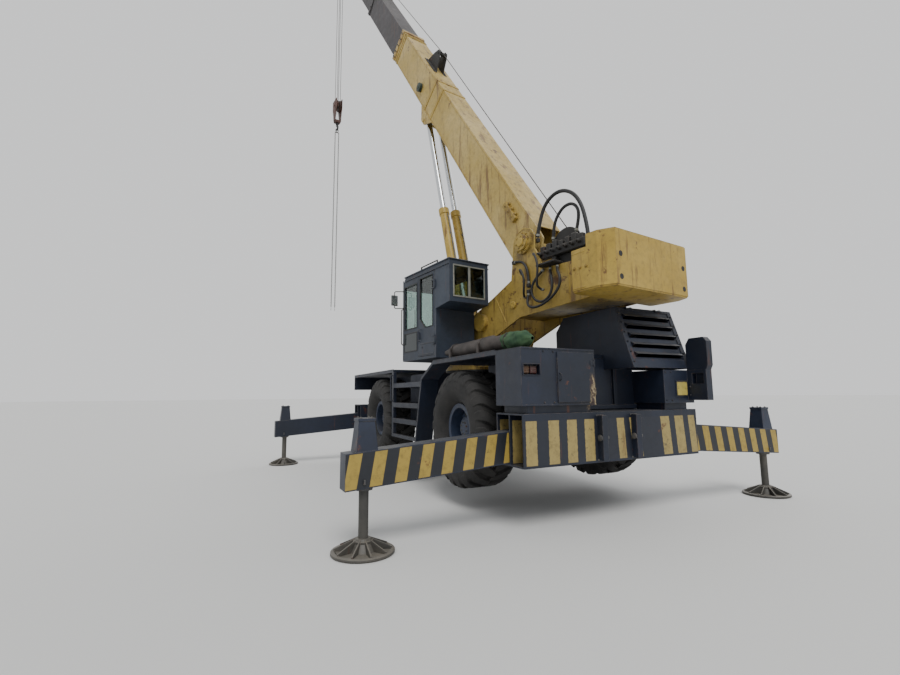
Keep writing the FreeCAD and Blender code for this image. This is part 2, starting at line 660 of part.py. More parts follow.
def base_details(low, high, half):
    details = []
    foot = [(-215, 60), (-215, -60), (-120, -220), (180, low), (420, low), (420, high),
            (100, high), (-60, 225)]
    for s in (-1, 1):
        details.append(boom_plate(foot, sorted((s * (half - 40), s * half))))
        details.append(boom_bar(150, 0, 0, (s * (half - 1), s * (PLATE_X - 5))))
        ear = [(LIFT_S - 420, low + 1), (LIFT_S + 420, low + 1), (LIFT_S + 110, LIFT_W - 70),
               (LIFT_S - 110, LIFT_W - 70)]
        details.append(boom_plate(ear, sorted((s * EAR_OUT, s * (EAR_OUT + EAR_T)))))
        details.append(boom_bar(EAR_BOSS_R, LIFT_S, LIFT_W,
                                sorted((s * (LIFT_X + LIFT_EYE_HALF + 5), s * EAR_OUT))))
    boss_in = LIFT_X - LIFT_EYE_HALF - 5
    details.append(boom_plate(ear, (-EAR_IN, EAR_IN)))
    details.append(boom_bar(EAR_BOSS_R, LIFT_S, LIFT_W, (-boss_in, boss_in)))
    details.append(boom_bar(LIFT_PIN_R, LIFT_S, LIFT_W, (-EAR_OUT - 50, EAR_OUT + 50)))
    return details


def head_details(low, high, half):
    s0 = SECTIONS[3][1] - 90
    cheek = [(s0, high), (s0, low), (HEAD_SHEAVE[0] - 150, HEAD_SHEAVE[1] - 120),
             (HEAD_SHEAVE[0] + 120, HEAD_SHEAVE[1] - 120), (HEAD_SHEAVE[0] + 200, HEAD_SHEAVE[1] + 60),
             (TOP_SHEAVE[0] + 230, TOP_SHEAVE[1] - 60), (TOP_SHEAVE[0] + 100, TOP_SHEAVE[1] + 100),
             (TOP_SHEAVE[0] - 120, TOP_SHEAVE[1] + 90)]
    details = [boom_plate(cheek, sorted((t * (half - 20), t * (half + 6)))) for t in (-1, 1)]
    for s, w in (HEAD_SHEAVE, TOP_SHEAVE):
        details.append(boom_bar(40, s, w, (-half - 30, half + 30)))
    return details


def head_sheaves():
    half = SECTIONS[3][3]
    solids = []
    for s, w in (HEAD_SHEAVE, TOP_SHEAVE):
        for x in (-120, -40, 40, 120):
            floor = SHEAVE_R - GROOVE_DEPTH
            ring = turned([(-28, 40 + SEAT), (-28, SHEAVE_R), (-20, SHEAVE_R), (-8, floor),
                           (8, floor), (20, SHEAVE_R), (28, SHEAVE_R), (28, 40 + SEAT)],
                          boom_place(s, w, x), (1, 0, 0))
            solids.append(ring)
    keep("head_sheaves", "boom", *solids)


# Lift cylinders, drawn in place in the slewed frame

def lift_points():
    angle = math.radians(BOOM_ANGLE)
    c, s = math.cos(angle), math.sin(angle)
    top = (PIVOT_Y - LIFT_S * c + LIFT_W * s, PIVOT_Z + LIFT_S * s + LIFT_W * c)
    return LIFT_BASE, top


def lift_cylinders():
    (y0, z0), (y1, z1) = lift_points()
    length = math.hypot(y1 - y0, z1 - z0)
    uy, uz = (y1 - y0) / length, (z1 - z0) / length
    barrels, rods = [], []
    for s in (-1, 1):
        x = s * LIFT_X
        eye = bar(110, (x - LIFT_EYE_HALF, y0, z0), (x + LIFT_EYE_HALF, y0, z0))
        body = bar(BARREL_R, (x, y0 + uy * 60, z0 + uz * 60),
                   (x, y0 + uy * BARREL_LEN, z0 + uz * BARREL_LEN))
        collar = bar(BARREL_R + BARREL_COLLAR, (x, y0 + uy * (BARREL_LEN - 140), z0 + uz * (BARREL_LEN - 140)),
                     (x, y0 + uy * BARREL_LEN, z0 + uz * BARREL_LEN))
        bore = bar(ROD_R + FIT, (x, y0 + uy * BARREL_END, z0 + uz * BARREL_END),
                   (x, y0 + uy * (BARREL_LEN + 5), z0 + uz * (BARREL_LEN + 5)))
        pin_hole = bar(61, (x - 100, y0, z0), (x + 100, y0, z0))
        barrels.append(fused([eye, body, collar]).cut(bore).cut(pin_hole))
        tail = length - ROD_LEN
        head = bar(95, (x - LIFT_EYE_HALF, y1, z1), (x + LIFT_EYE_HALF, y1, z1))
        rod = bar(ROD_R, (x, y0 + uy * tail, z0 + uz * tail),
                  (x, y1 - uy * 40, z1 - uz * 40))
        hole = bar(LIFT_PIN_R + FIT, (x - 100, y1, z1), (x + 100, y1, z1))
        rods.append(fused([head, rod]).cut(hole))
    keep("lift_barrels", "upper", *barrels)
    keep("lift_rods", "upper", *rods)


# Hook, hanging plumb below the lower head sheaves

def falls_top():
    angle = math.radians(BOOM_ANGLE)
    c, s = math.cos(angle), math.sin(angle)
    along, up = HEAD_SHEAVE
    return PIVOT_Y - along * c + up * s, PIVOT_Z + along * s + up * c


def hook():
    y, z = falls_top()
    reach = SHEAVE_R - GROOVE_DEPTH + FALL_R + SEAT
    front, back = y - reach, y + reach
    bottom = z - FALLS_LEN
    lines = [bar(FALL_R, (x, yy, bottom + SEAT), (x, yy, z))
             for x in (-40, 40) for yy in (front, back)]
    keep("hoist_falls", "upper", *lines)
    cheeks = [(y - 230, bottom - 40), (y - 205, bottom), (y + 205, bottom), (y + 230, bottom - 40),
              (y + 200, bottom - 330), (y + 60, bottom - 470), (y - 60, bottom - 470),
              (y - 200, bottom - 330)]
    body = side_plate(cheeks, (-90, 90))
    shank = bar(38, (0, y, bottom - 600), (0, y, bottom - 460))
    ring = Part.makeTorus(85, 32, Vector(0, y, bottom - 680), Vector(1, 0, 0))
    keep("hook_block", "upper", fused([body, shank, ring]))
    legs = []
    link_z = bottom - 680 - 53 + SEAT + 10 - 60
    link = Part.makeTorus(60, 10, Vector(0, y, link_z), Vector(0, 1, 0))
    spreader = block((-85, 85), (y - 14, y + 14), (link_z - 95, link_z - 62))
    for x in (-70, 70):
        legs.append(bar(11, (x, y, link_z - 94 - SLING_LEN), (x, y, link_z - 94)))
    keep("chain_sling", "upper", fused([link, spreader] + legs))


def build():
    chassis_frame()
    slew_ring()
    outrigger_box("rear_outrigger_box", REAR_BOX_Y)
    outrigger_box("front_outrigger_box", FRONT_BOX_Y)
    axle("front_axle", FRONT_AXLE_Y)
    axle("rear_axle", REAR_AXLE_Y)
    for end, axle_y, box_y in (("front", FRONT_AXLE_Y, FRONT_BOX_Y),
                               ("rear", REAR_AXLE_Y, REAR_BOX_Y)):
        for name, side in (("left", 1), ("right", -1)):
            corner = end + "_" + name
            knuckle(corner, side, axle_y)
            wheel(corner, side, axle_y)
            outrigger(corner, side, box_y)
    front_deck()
    rear_deck()
    side_tanks()
    steps()
    rear_lockers()
    engine_hood()
    engine_block()
    silencer()
    tow_hitch()
    turntable_frame()
    counterweight()
    cab()
    winch()
    boom_sections()
    head_sheaves()
    lift_cylinders()
    hook()


def placed(frame, shape):
    shape = shape.copy()
    if frame == "boom":
        shape.rotate(Vector(0, PIVOT_Y, PIVOT_Z), Vector(-1, 0, 0), BOOM_ANGLE)
    if frame != "carrier":
        shape.rotate(Vector(0, 0, 0), Vector(0, 0, 1), SLEW)
    return shape


def assembled():
    """Each node's solids in the final frame, and the shift that took them there."""
    build()
    nodes = {}
    for node, (frame, solids) in pieces.items():
        flat = [s for solid in solids for s in placed(frame, solid).Solids]
        nodes[node] = flat[0] if len(flat) == 1 else Part.makeCompound(flat)
    whole = Part.makeCompound(list(nodes.values())).optimalBoundingBox(False)
    shift = Vector(-(whole.XMin + whole.XMax) / 2, -(whole.YMin + whole.YMax) / 2, -whole.ZMin)
    for shape in nodes.values():
        shape.translate(shift)
    return nodes, shift


def main():
    os.makedirs("parts", exist_ok=True)
    nodes, shift = assembled()
    for node, shape in nodes.items():
        shape.exportStep("parts/" + node + ".step")
    print("nodes", len(nodes), "shift", [round(v, 3) for v in shift])


if __name__ == "__main__":
    main()
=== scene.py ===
"""Looks of a mobile crane that stands on its outriggers with the boom raised.

Metres, in the part's own frame: +X is the vehicle's left, +Y its rear, +Z up.
"""
import json
import math
from functools import reduce
from itertools import product

import bmesh
import bpy
from mathutils import Matrix, Vector


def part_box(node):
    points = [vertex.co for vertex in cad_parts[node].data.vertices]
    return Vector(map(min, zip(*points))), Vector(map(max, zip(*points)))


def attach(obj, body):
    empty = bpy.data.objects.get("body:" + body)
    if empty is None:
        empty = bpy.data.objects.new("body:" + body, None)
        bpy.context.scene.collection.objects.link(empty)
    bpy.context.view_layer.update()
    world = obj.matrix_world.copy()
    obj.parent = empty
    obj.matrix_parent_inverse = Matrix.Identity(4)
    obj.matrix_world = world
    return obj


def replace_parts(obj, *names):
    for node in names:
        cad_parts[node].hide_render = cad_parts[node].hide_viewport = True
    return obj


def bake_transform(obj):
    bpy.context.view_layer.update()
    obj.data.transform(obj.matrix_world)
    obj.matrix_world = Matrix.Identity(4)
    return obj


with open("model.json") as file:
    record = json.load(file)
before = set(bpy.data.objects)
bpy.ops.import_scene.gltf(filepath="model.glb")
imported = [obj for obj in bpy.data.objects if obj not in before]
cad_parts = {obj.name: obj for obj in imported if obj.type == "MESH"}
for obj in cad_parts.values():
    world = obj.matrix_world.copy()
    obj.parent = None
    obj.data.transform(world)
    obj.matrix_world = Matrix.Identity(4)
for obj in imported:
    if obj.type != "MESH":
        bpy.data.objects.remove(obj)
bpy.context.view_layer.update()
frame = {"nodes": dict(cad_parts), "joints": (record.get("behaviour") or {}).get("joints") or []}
JOINTS = {joint["name"]: joint for joint in frame["joints"]}
NODES = frame["nodes"]
MATERIALS = {}
SIDES = (-1, 1)
X, Y, Z = (1, 0, 0), (0, 1, 0), (0, 0, 1)

# Frames of the carrier, of what slews, and of the boom, read from the joints
SLEW_POINT = Vector(JOINTS["slew"]["pos_m"])
LATERAL = Vector(JOINTS["boom_luff"]["axis"])
SLEW = math.atan2(-LATERAL.y, -LATERAL.x)
ALONG = Vector(JOINTS["telescope_2"]["axis"]).normalized()
ABOVE = LATERAL.cross(ALONG).normalized()
if ABOVE.z < 0:
    ABOVE = -ABOVE

# Each frame as a matrix: x left, y rear, z up in its own sense
CARRIER = Matrix.Translation((SLEW_POINT.x, SLEW_POINT.y, 0.0))
UPPER = CARRIER @ Matrix.Rotation(SLEW, 4, "Z")
BOOM = (Matrix.Translation(JOINTS["boom_luff"]["pos_m"])
        @ Matrix((-LATERAL, -ALONG, ABOVE)).transposed().to_4x4())

# The photograph's camera, measured from the slewing centre
CAMERA_PLACE = (4.659, 8.145, 1.632)
CAMERA_YAW = 0.4541
CAMERA_PITCH = 0.1234
CAMERA_ROLL = -0.008
CAMERA_FOCAL = 461.788
IMAGE_WIDTH = 900
SENSOR = 36.0

WORLD_LIGHT = ((0.92, 0.95, 1.0, 1), 0.66)
BACKDROP = ((0.93, 0.935, 0.94, 1), 1.0)
SUNS = (
    # name, turn in degrees, strength, width in degrees
    ("key", (38, 12, 150), 1.9, 28), ("fill", (62, 0, -60), 0.5, 40),
)
FLOOR_REACH = 260.0
FLOOR_Z = -0.002

# Places in the frame of each piece
WHEEL_PLACES = {
    "front_left": (1.226, -2.01), "front_right": (-1.226, -2.01),
    "rear_left": (1.226, 1.87), "rear_right": (-1.226, 1.87),
}
JACK_PLACES = {
    "front_left": (3.27, -3.95), "front_right": (-3.27, -3.67),
    "rear_left": (3.27, 3.18), "rear_right": (-3.27, 3.46),
}
AXLE_Z = 1.13
FRAME_SIDE = 0.52
PIVOT_Y, PIVOT_Z = 1.95, 4.13
GEAR_Y, GEAR_Z = 1.658, 3.127
LIFT_FOOT = Vector((0.0, -0.25, 2.6))
LIFT_HEAD = Vector((0.0, -1.7584, 8.3777))
WINCH_Y, WINCH_Z = 2.7, 3.9
BOOM_HALF, BOOM_LOW, BOOM_HIGH = 0.3025, -0.5, 0.24
BOOM_BANDS = (5.34, 5.83)
REEL_PLACE = (-6.47, -0.25)
TOP_SHEAVE = (18.83, 0.15)
HEAD_SHEAVE = (18.83, -0.54)
ROPE_R = 0.009
ROPE_REACH = 0.176 + ROPE_R + 0.001
ROPE_X = 0.04
GUIDE_ROLLER = (6.75, 0.58, 0.045)
SECTION_ENDS = (12.4, 15.6, 18.83)
HOOD_CREST = Vector((0.0, 3.3, 2.87))
HOOD_FALL = Vector((0.0, 0.3, -0.89))
HOOD_RUN = HOOD_FALL.normalized()
HOOD_OUT = Vector((0.0, 0.89, 0.3)).normalized()
SILENCER_X, SILENCER_Z = 1.3, 2.33
LOCKER_REAR = 3.6
LOCKER_X = (0.37, 1.51)
CAB_SIDE = 1.4495

# Hoses: name, diameter, length and the route in the slewed frame
HOSES = (
    ("hose_loop_front", 0.06, 2.245, (
        (0.4505, 2.2, 4.17), (0.445, 2.27, 4.46), (0.445, 2.42, 4.7), (0.445, 2.69, 4.785),
        (0.445, 2.955, 4.665), (0.445, 3.12, 4.425), (0.445, 3.2, 4.11), (0.445, 3.23, 3.85),
        (0.445, 3.23, 3.6))),
    ("hose_loop_rear", 0.05, 1.221, (
        (0.358, 2.46, 4.06), (0.378, 2.49, 4.3), (0.385, 2.67, 4.5), (0.39, 2.86, 4.53),
        (0.385, 2.99, 4.44), (0.375, 3.02, 4.27), (0.358, 2.93, 4.06))),
    ("hose_side_arch", 0.042, 0.657, (
        (0.547, 1.72, 3.845), (0.547, 1.895, 3.84), (0.547, 2.015, 3.72), (0.547, 2.065, 3.56),
        (0.547, 2.07, 3.4))),
    ("hose_side_loop", 0.04, 1.410, (
        (0.545, 2.42, 3.575), (0.575, 2.33, 3.5), (0.6, 2.215, 3.38), (0.6, 2.17, 3.24),
        (0.6, 2.245, 3.105), (0.6, 2.41, 3.035), (0.6, 2.575, 3.105), (0.6, 2.64, 3.25),
        (0.59, 2.61, 3.4), (0.56, 2.565, 3.5), (0.545, 2.555, 3.575))),
    ("hose_side_drop", 0.04, 1.454, (
        (0.544, 2.7, 3.565), (0.6, 2.74, 3.48), (0.655, 2.85, 3.36), (0.655, 2.84, 3.21),
        (0.655, 2.7, 3.08), (0.655, 2.51, 3.0), (0.655, 2.31, 2.965), (0.645, 2.15, 3.01),
        (0.6, 2.07, 3.13), (0.545, 2.065, 3.26))),
    ("hose_pivot_bend", 0.036, 0.795, (
        (0.545, 1.9, 3.6), (0.64, 1.95, 3.66), (0.705, 2.06, 3.62), (0.71, 2.14, 3.46),
        (0.69, 2.1, 3.3), (0.62, 2.02, 3.22), (0.545, 1.96, 3.2))),
    ("hose_inner_bend", 0.036, 0.898, (
        (0.545, 2.2, 3.86), (0.64, 2.28, 3.86), (0.705, 2.4, 3.76), (0.715, 2.46, 3.58),
        (0.71, 2.42, 3.4), (0.67, 2.38, 3.3), (0.6, 2.39, 3.25), (0.545, 2.4, 3.245))),
)


# Camera, hoses, light and floor

def show(name, data):
    """A new object in the scene."""
    made = bpy.data.objects.new(name, data)
    bpy.context.scene.collection.objects.link(made)
    return made


def make_camera():
    data = bpy.data.cameras.new("camera")
    data.sensor_width = SENSOR
    data.lens = CAMERA_FOCAL * SENSOR / IMAGE_WIDTH
    ahead = Vector((-math.sin(CAMERA_YAW) * math.cos(CAMERA_PITCH),
                    -math.cos(CAMERA_YAW) * math.cos(CAMERA_PITCH), math.sin(CAMERA_PITCH)))
    right = ahead.cross(Vector(Z)).normalized()
    up = right.cross(ahead)
    c, s = math.cos(CAMERA_ROLL), math.sin(CAMERA_ROLL)
    right, up = c * right + s * up, c * up - s * right
    turn = Matrix((right, up, -ahead)).transposed().to_4x4()
    camera = show("camera", data)
    camera.matrix_world = CARRIER @ Matrix.Translation(CAMERA_PLACE) @ turn
    bpy.context.scene.camera = camera


def make_hoses():
    """Curves along the hoses' routes."""
    hoses = []
    for name, diameter, length, route in HOSES:
        curve = bpy.data.curves.new(name + "_curve", "CURVE")
        curve.dimensions = "3D"
        spline = curve.splines.new("NURBS")
        spline.points.add(len(route) - 1)
        for point, place in zip(spline.points, route):
            point.co = (*(UPPER @ Vector(place)), 1.0)
        spline.order_u = 3
        spline.use_endpoint_u = True
        spline.resolution_u = 12
        curve.bevel_depth = diameter / 2
        curve.bevel_resolution = 3
        curve.use_fill_caps = True
        hose = show(name + "_skin", curve)
        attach(hose, "superstructure")
        tuple(UPPER @ Vector(route[0]))
        hoses.append(hose)
    return hoses


def make_light():
    """Two soft suns and an even world, which shows paler to the camera and in reflections."""
    world = bpy.data.worlds.new("studio")
    bpy.context.scene.world = world
    world.use_nodes = True
    nodes = Nodes(world.node_tree)
    rays = nodes.node("ShaderNodeLightPath").outputs
    seen = nodes.either(rays["Is Camera Ray"], rays["Is Transmission Ray"])
    mix = nodes.node("ShaderNodeMixShader")
    nodes.feed(mix.inputs[0], nodes.either(seen, rays["Is Glossy Ray"]))
    for socket, (colour, strength) in zip((mix.inputs[1], mix.inputs[2]), (WORLD_LIGHT, BACKDROP)):
        background = nodes.node("ShaderNodeBackground")
        nodes.feed(background.inputs["Color"], colour)
        nodes.feed(background.inputs["Strength"], strength)
        nodes.feed(socket, background.outputs[0])
    nodes.feed(nodes.node("ShaderNodeOutputWorld").inputs[0], mix.outputs[0])
    for name, turn, strength, width in SUNS:
        data = bpy.data.lights.new(name, "SUN")
        data.energy = strength
        data.angle = math.radians(width)
        show(name, data).rotation_euler = [math.radians(angle) for angle in turn]


def make_floor():
    paint = Paint("floor")
    mesh = bpy.data.meshes.new("floor")
    corners = [(x * FLOOR_REACH, y * FLOOR_REACH, FLOOR_Z)
               for x, y in ((-1, -1), (1, -1), (1, 1), (-1, 1))]
    mesh.from_pydata(corners, [], [(0, 1, 2, 3)])
    mesh.materials.append(paint.finish("dbdad6", 0.9))
    show("floor", mesh)


# Materials

def srgb(code):
    """Linear colour from a hex code."""
    parts = [int(code[i:i + 2], 16) / 255 for i in (0, 2, 4)]
    return tuple(c / 12.92 if c <= 0.04045 else ((c + 0.055) / 1.055) ** 2.4 for c in parts) + (1.0,)


class Nodes:
    """A node tree under construction."""

    def __init__(self, tree):
        self.tree = tree
        tree.nodes.clear()

    def node(self, kind, **values):
        node = self.tree.nodes.new(kind)
        for key, value in values.items():
            setattr(node, key, value)
        return node

    def feed(self, socket, value):
        """A socket's value: another node's output, a hex colour or a plain value."""
        if isinstance(value, bpy.types.NodeSocket):
            self.tree.links.new(value, socket)
        else:
            socket.default_value = srgb(value) if isinstance(value, str) else value

    def math(self, operation, a, b=0.0):
        node = self.node("ShaderNodeMath", operation=operation)
        self.feed(node.inputs[0], a)
        self.feed(node.inputs[1], b)
        return node.outputs[0]

    def add(self, a, b):
        return self.math("ADD", a, b)

    def less(self, a, b):
        return self.math("SUBTRACT", a, b)

    def times(self, a, b):
        return self.math("MULTIPLY", a, b)

    def either(self, a, b):
        return self.math("MAXIMUM", a, b)


class Paint(Nodes):
    """A material under construction. Each method adds a node and returns its output."""

    def __init__(self, name):
        self.material = bpy.data.materials.new(name)
        self.material.use_nodes = True
        super().__init__(self.material.node_tree)
        self.shader = self.node("ShaderNodeBsdfPrincipled")
        self.feed(self.node("ShaderNodeOutputMaterial").inputs[0], self.shader.outputs[0])
        coordinates = self.node("ShaderNodeTexCoord")
        self.place = coordinates.outputs["Object"]
        self.facing = coordinates.outputs["Normal"]
        self.z = self.axes(self.place)[2]
        self.ny, self.nz = self.axes(self.facing)[1:]

    def axes(self, vector):
        split = self.node("ShaderNodeSeparateXYZ")
        self.feed(split.inputs[0], vector)
        return split.outputs[:3]

    def dot(self, vector, direction):
        node = self.node("ShaderNodeVectorMath", operation="DOT_PRODUCT")
        self.feed(node.inputs[0], vector)
        self.feed(node.inputs[1], direction)
        return node.outputs["Value"]

    def local(self, matrix):
        """The three places of a point in a frame given as a matrix."""
        turn = matrix.to_3x3()
        directions = [turn.col[i].copy() for i in range(3)]
        return [self.add(self.dot(self.place, d), -d.dot(matrix.translation)) for d in directions]

    def noise(self, scale, detail=4.0, rough=0.55, stretch=(1, 1, 1), offset=0.0):
        mapping = self.node("ShaderNodeMapping")
        self.feed(mapping.inputs["Vector"], self.place)
        self.feed(mapping.inputs["Scale"], stretch)
        node = self.node("ShaderNodeTexNoise", noise_dimensions="4D")
        for name, value in (("Vector", mapping.outputs[0]), ("W", offset), ("Scale", scale),
                            ("Detail", detail), ("Roughness", rough)):
            self.feed(node.inputs[name], value)
        return node.outputs["Fac"]

    def ramp(self, value, low, high, to_low=0.0, to_high=1.0):
        node = self.node("ShaderNodeMapRange", interpolation_type="SMOOTHSTEP")
        for name, number in (("Value", value), ("From Min", low), ("From Max", high),
                             ("To Min", to_low), ("To Max", to_high)):
            self.feed(node.inputs[name], number)
        return node.outputs[0]

    def within(self, value, low, high, soft=0.004):
        return self.times(self.ramp(value, low - soft, low + soft),
                          self.ramp(value, high - soft, high + soft, 1.0, 0.0))

    def mix(self, share, a, b):
        node = self.node("ShaderNodeMix", data_type="RGBA")
        self.feed(node.inputs["Factor"], share)
        self.feed(node.inputs[6], a)
        self.feed(node.inputs[7], b)
        return node.outputs[2]

    def edge(self, radius):
        """How close a point is to a convex or concave edge, and the rounded normal."""
        bevel = self.node("ShaderNodeBevel", samples=4)
        self.feed(bevel.inputs["Radius"], radius)
        geometry = self.node("ShaderNodeNewGeometry")
        return self.less(1.0, self.dot(bevel.outputs[0], geometry.outputs["Normal"])), bevel.outputs[0]

    def bump(self, height, strength, distance, normal=None):
        node = self.node("ShaderNodeBump")
        self.feed(node.inputs["Strength"], strength)
        self.feed(node.inputs["Distance"], distance)
        self.feed(node.inputs["Height"], height)
        if normal is not None:
            self.feed(node.inputs["Normal"], normal)
        return node.outputs[0]

    def finish(self, colour, roughness, normal=None, metallic=0.0):
        self.feed(self.shader.inputs["Base Color"], colour)
        self.feed(self.shader.inputs["Roughness"], roughness)
        self.feed(self.shader.inputs["Metallic"], metallic)
        if normal is not None:
            self.feed(self.shader.inputs["Normal"], normal)
        return self.material


def weathered(name, base, faded, rust="5a3424", spots=0.62, streaks=0.6, dust=0.62, chips=0.52,
              rough=0.45, bare="8d8a80", marks_and_shade=None, edge_radius=0.012, deep="14161a", dirt="837d72"):
    """Paint that has faded, with rust streaks, bare edges, dust on its tops and random dark grime; the
    marks add more, for the boom painted shade on its underside.
    """
    p = Paint(name)
    colour = p.mix(p.ramp(p.noise(0.9, 5.0, 0.6), 0.35, 0.7), base, faded)
    # The marks add stains and stripes, and on the boom painted shade under it.
    if marks_and_shade:
        colour = marks_and_shade(p, colour)
    grime = p.ramp(p.noise(14.0, 6.0, 0.7, offset=1.0), 0.42, 0.78)
    colour = p.mix(p.times(grime, 0.45), colour, deep)
    run = p.noise(5.0, 5.0, 0.65, stretch=(1.6, 1.6, 0.16), offset=2.0)
    colour = p.mix(p.times(p.ramp(run, streaks, streaks + 0.13), 0.7), colour, rust)
    blotch = p.noise(3.2, 8.0, 0.72, offset=3.0)
    colour = p.mix(p.times(p.ramp(blotch, spots, spots + 0.05), 0.85), colour, rust)
    near, rounded = p.edge(edge_radius)
    broken = p.ramp(p.noise(9.0, 6.0, 0.7, offset=4.0), chips - 0.1, chips + 0.12)
    worn = p.times(p.ramp(near, 0.04, 0.22), broken)
    colour = p.mix(p.times(worn, 0.85), colour, p.mix(p.noise(6.0, offset=5.0), bare, rust))
    top = p.times(p.ramp(p.nz, 0.35, 0.9), p.ramp(p.noise(2.4, 6.0, 0.65, offset=6.0), 0.25, 0.62))
    colour = p.mix(p.times(top, dust), colour, dirt)
    roughness = p.add(p.times(p.noise(7.0, 4.0, offset=7.0), 0.3), rough - 0.1)
    roughness = p.add(roughness, p.times(worn, 0.15))
    height = p.add(p.times(p.noise(60.0, 3.0, offset=8.0), 0.15), p.times(blotch, 0.4))
    return p.finish(colour, roughness, p.bump(height, 0.25, 0.006, rounded))


STRIPE_Z = (0.80, 1.315)
BOX_STRIPES = (
    # left edge, right edge, shift of the foot, all in x from the middle
    (1.472, 1.315, 0.0), (1.142, 0.985, 0.0), (0.86, 0.709, 0.0), (0.584, 0.426, 0.0),
    (0.043, -0.085, -0.03), (-0.181, -0.354, -0.06),
    (-0.767, -0.939, -0.046), (-1.049, -1.223, -0.046), (-1.331, -1.46, -0.046),
)
BEAM_PITCH = 0.272
BEAM_FIRST = 3.37
BEAM_SLANT = 0.17
BEAM_ROOT = (1.51, 0.99)
BEAM_FALL = 0.0752


def box_stripes(p, ground):
    """Yellow stripes across the outrigger box's rear side, each with its own lean."""
    x = p.local(CARRIER)[0]
    wander = p.times(p.add(p.noise(30.0, 3.0, offset=9.0), -0.5), 0.02)
    z0, z1 = STRIPE_Z
    bands = []
    for left, right, shift in BOX_STRIPES:
        lean = p.times(p.less(z1, p.z), shift / (z1 - z0))
        bands.append(p.within(p.add(p.less(x, lean), wander), right, left))
    rear = p.times(p.within(p.z, z0, z1), p.ramp(p.ny, 0.6, 0.8))
    chipped = p.ramp(p.noise(7.0, 8.0, 0.75, offset=11.0), 0.33, 0.42)
    ground = p.mix(p.times(rear, 0.8), ground, "20242e")
    return p.mix(p.times(p.times(reduce(p.either, bands), rear), chipped), ground, "9f8c55")


def carrier_marks(p, ground):
    """Pale flaking patch and its rust beside the left locker's edge."""
    x, y, z = p.local(CARRIER)
    flake = p.ramp(p.noise(8.0, 7.0, 0.75, stretch=(1, 1, 0.45), offset=15.0), 0.47, 0.53)
    place = p.times(p.within(x, 0.355, 0.47, 0.02), p.within(z, 1.43, 1.86, 0.05))
    place = p.times(place, p.ramp(y, 3.4, 3.5))
    colour = p.mix(p.times(place, 0.5), ground, "4a2f20")
    return p.mix(p.times(place, flake), colour, "a08f6c")


def beam_stripes(p, ground):
    """Yellow bars on the beam's rear side; they lean towards the box at their tops."""
    out = p.math("ABSOLUTE", p.local(CARRIER)[0])
    middle = p.less(BEAM_ROOT[1], p.times(p.add(out, -BEAM_ROOT[0]), BEAM_FALL))
    off = p.math("ABSOLUTE", p.less(p.z, middle))
    side = p.times(p.ramp(off, 0.172, 0.182, 1.0, 0.0), p.ramp(p.ny, 0.6, 0.8))
    lean = p.times(p.z, BEAM_SLANT)
    along = p.math("FRACT", p.times(p.less(BEAM_FIRST, p.add(out, lean)), 1 / BEAM_PITCH))
    mask = p.within(along, 0.04, 0.54, 0.012)
    chipped = p.ramp(p.noise(7.0, 8.0, 0.75, offset=12.0), 0.31, 0.4)
    dark = p.mix(side, ground, "1d2026")
    return p.mix(p.times(p.times(mask, side), chipped), dark, "a58c3f")


def boom_rust_and_shade(p, colour):
    """Rust at the base section's bands and collar, and painted shade that darkens its underside."""
    along = p.times(p.local(BOOM)[1], -1.0)
    scrape = p.ramp(p.noise(5.0, 7.0, 0.7, offset=13.0), 0.4, 0.6)
    for s in BOOM_BANDS:
        band = p.within(along, s - 0.05, s + 0.05, 0.012)
        colour = p.mix(p.times(band, p.times(scrape, 0.8)), colour, "6a3d25")
    collar = p.within(along, 8.7, 9.1, 0.01)
    colour = p.mix(p.times(collar, p.times(scrape, 0.6)), colour, "8a5f3c")
    # Painted shade: faces turned down are darkened towards a shaded yellow.
    painted_underside_shade = p.ramp(p.dot(p.facing, ABOVE), -0.9, -0.6, 1.0, 0.0)
    return p.mix(p.times(painted_underside_shade, 0.35), colour, "6d6048")


def frame_marks(p, ground):
    """Rust and grease round the pivot."""
    y, z = p.local(UPPER)[1:]
    squares = [p.math("POWER", p.add(a, -b), 2.0) for a, b in ((y, PIVOT_Y), (z, PIVOT_Z))]
    away = p.math("SQRT", p.add(*squares))
    patchy = p.ramp(p.noise(6.0, 6.0, 0.7, offset=14.0), 0.4, 0.6)
    ring = p.times(p.within(away, 0.185, 0.3, 0.03), patchy)
    return p.mix(p.times(ring, 0.7), ground, "4b3722")


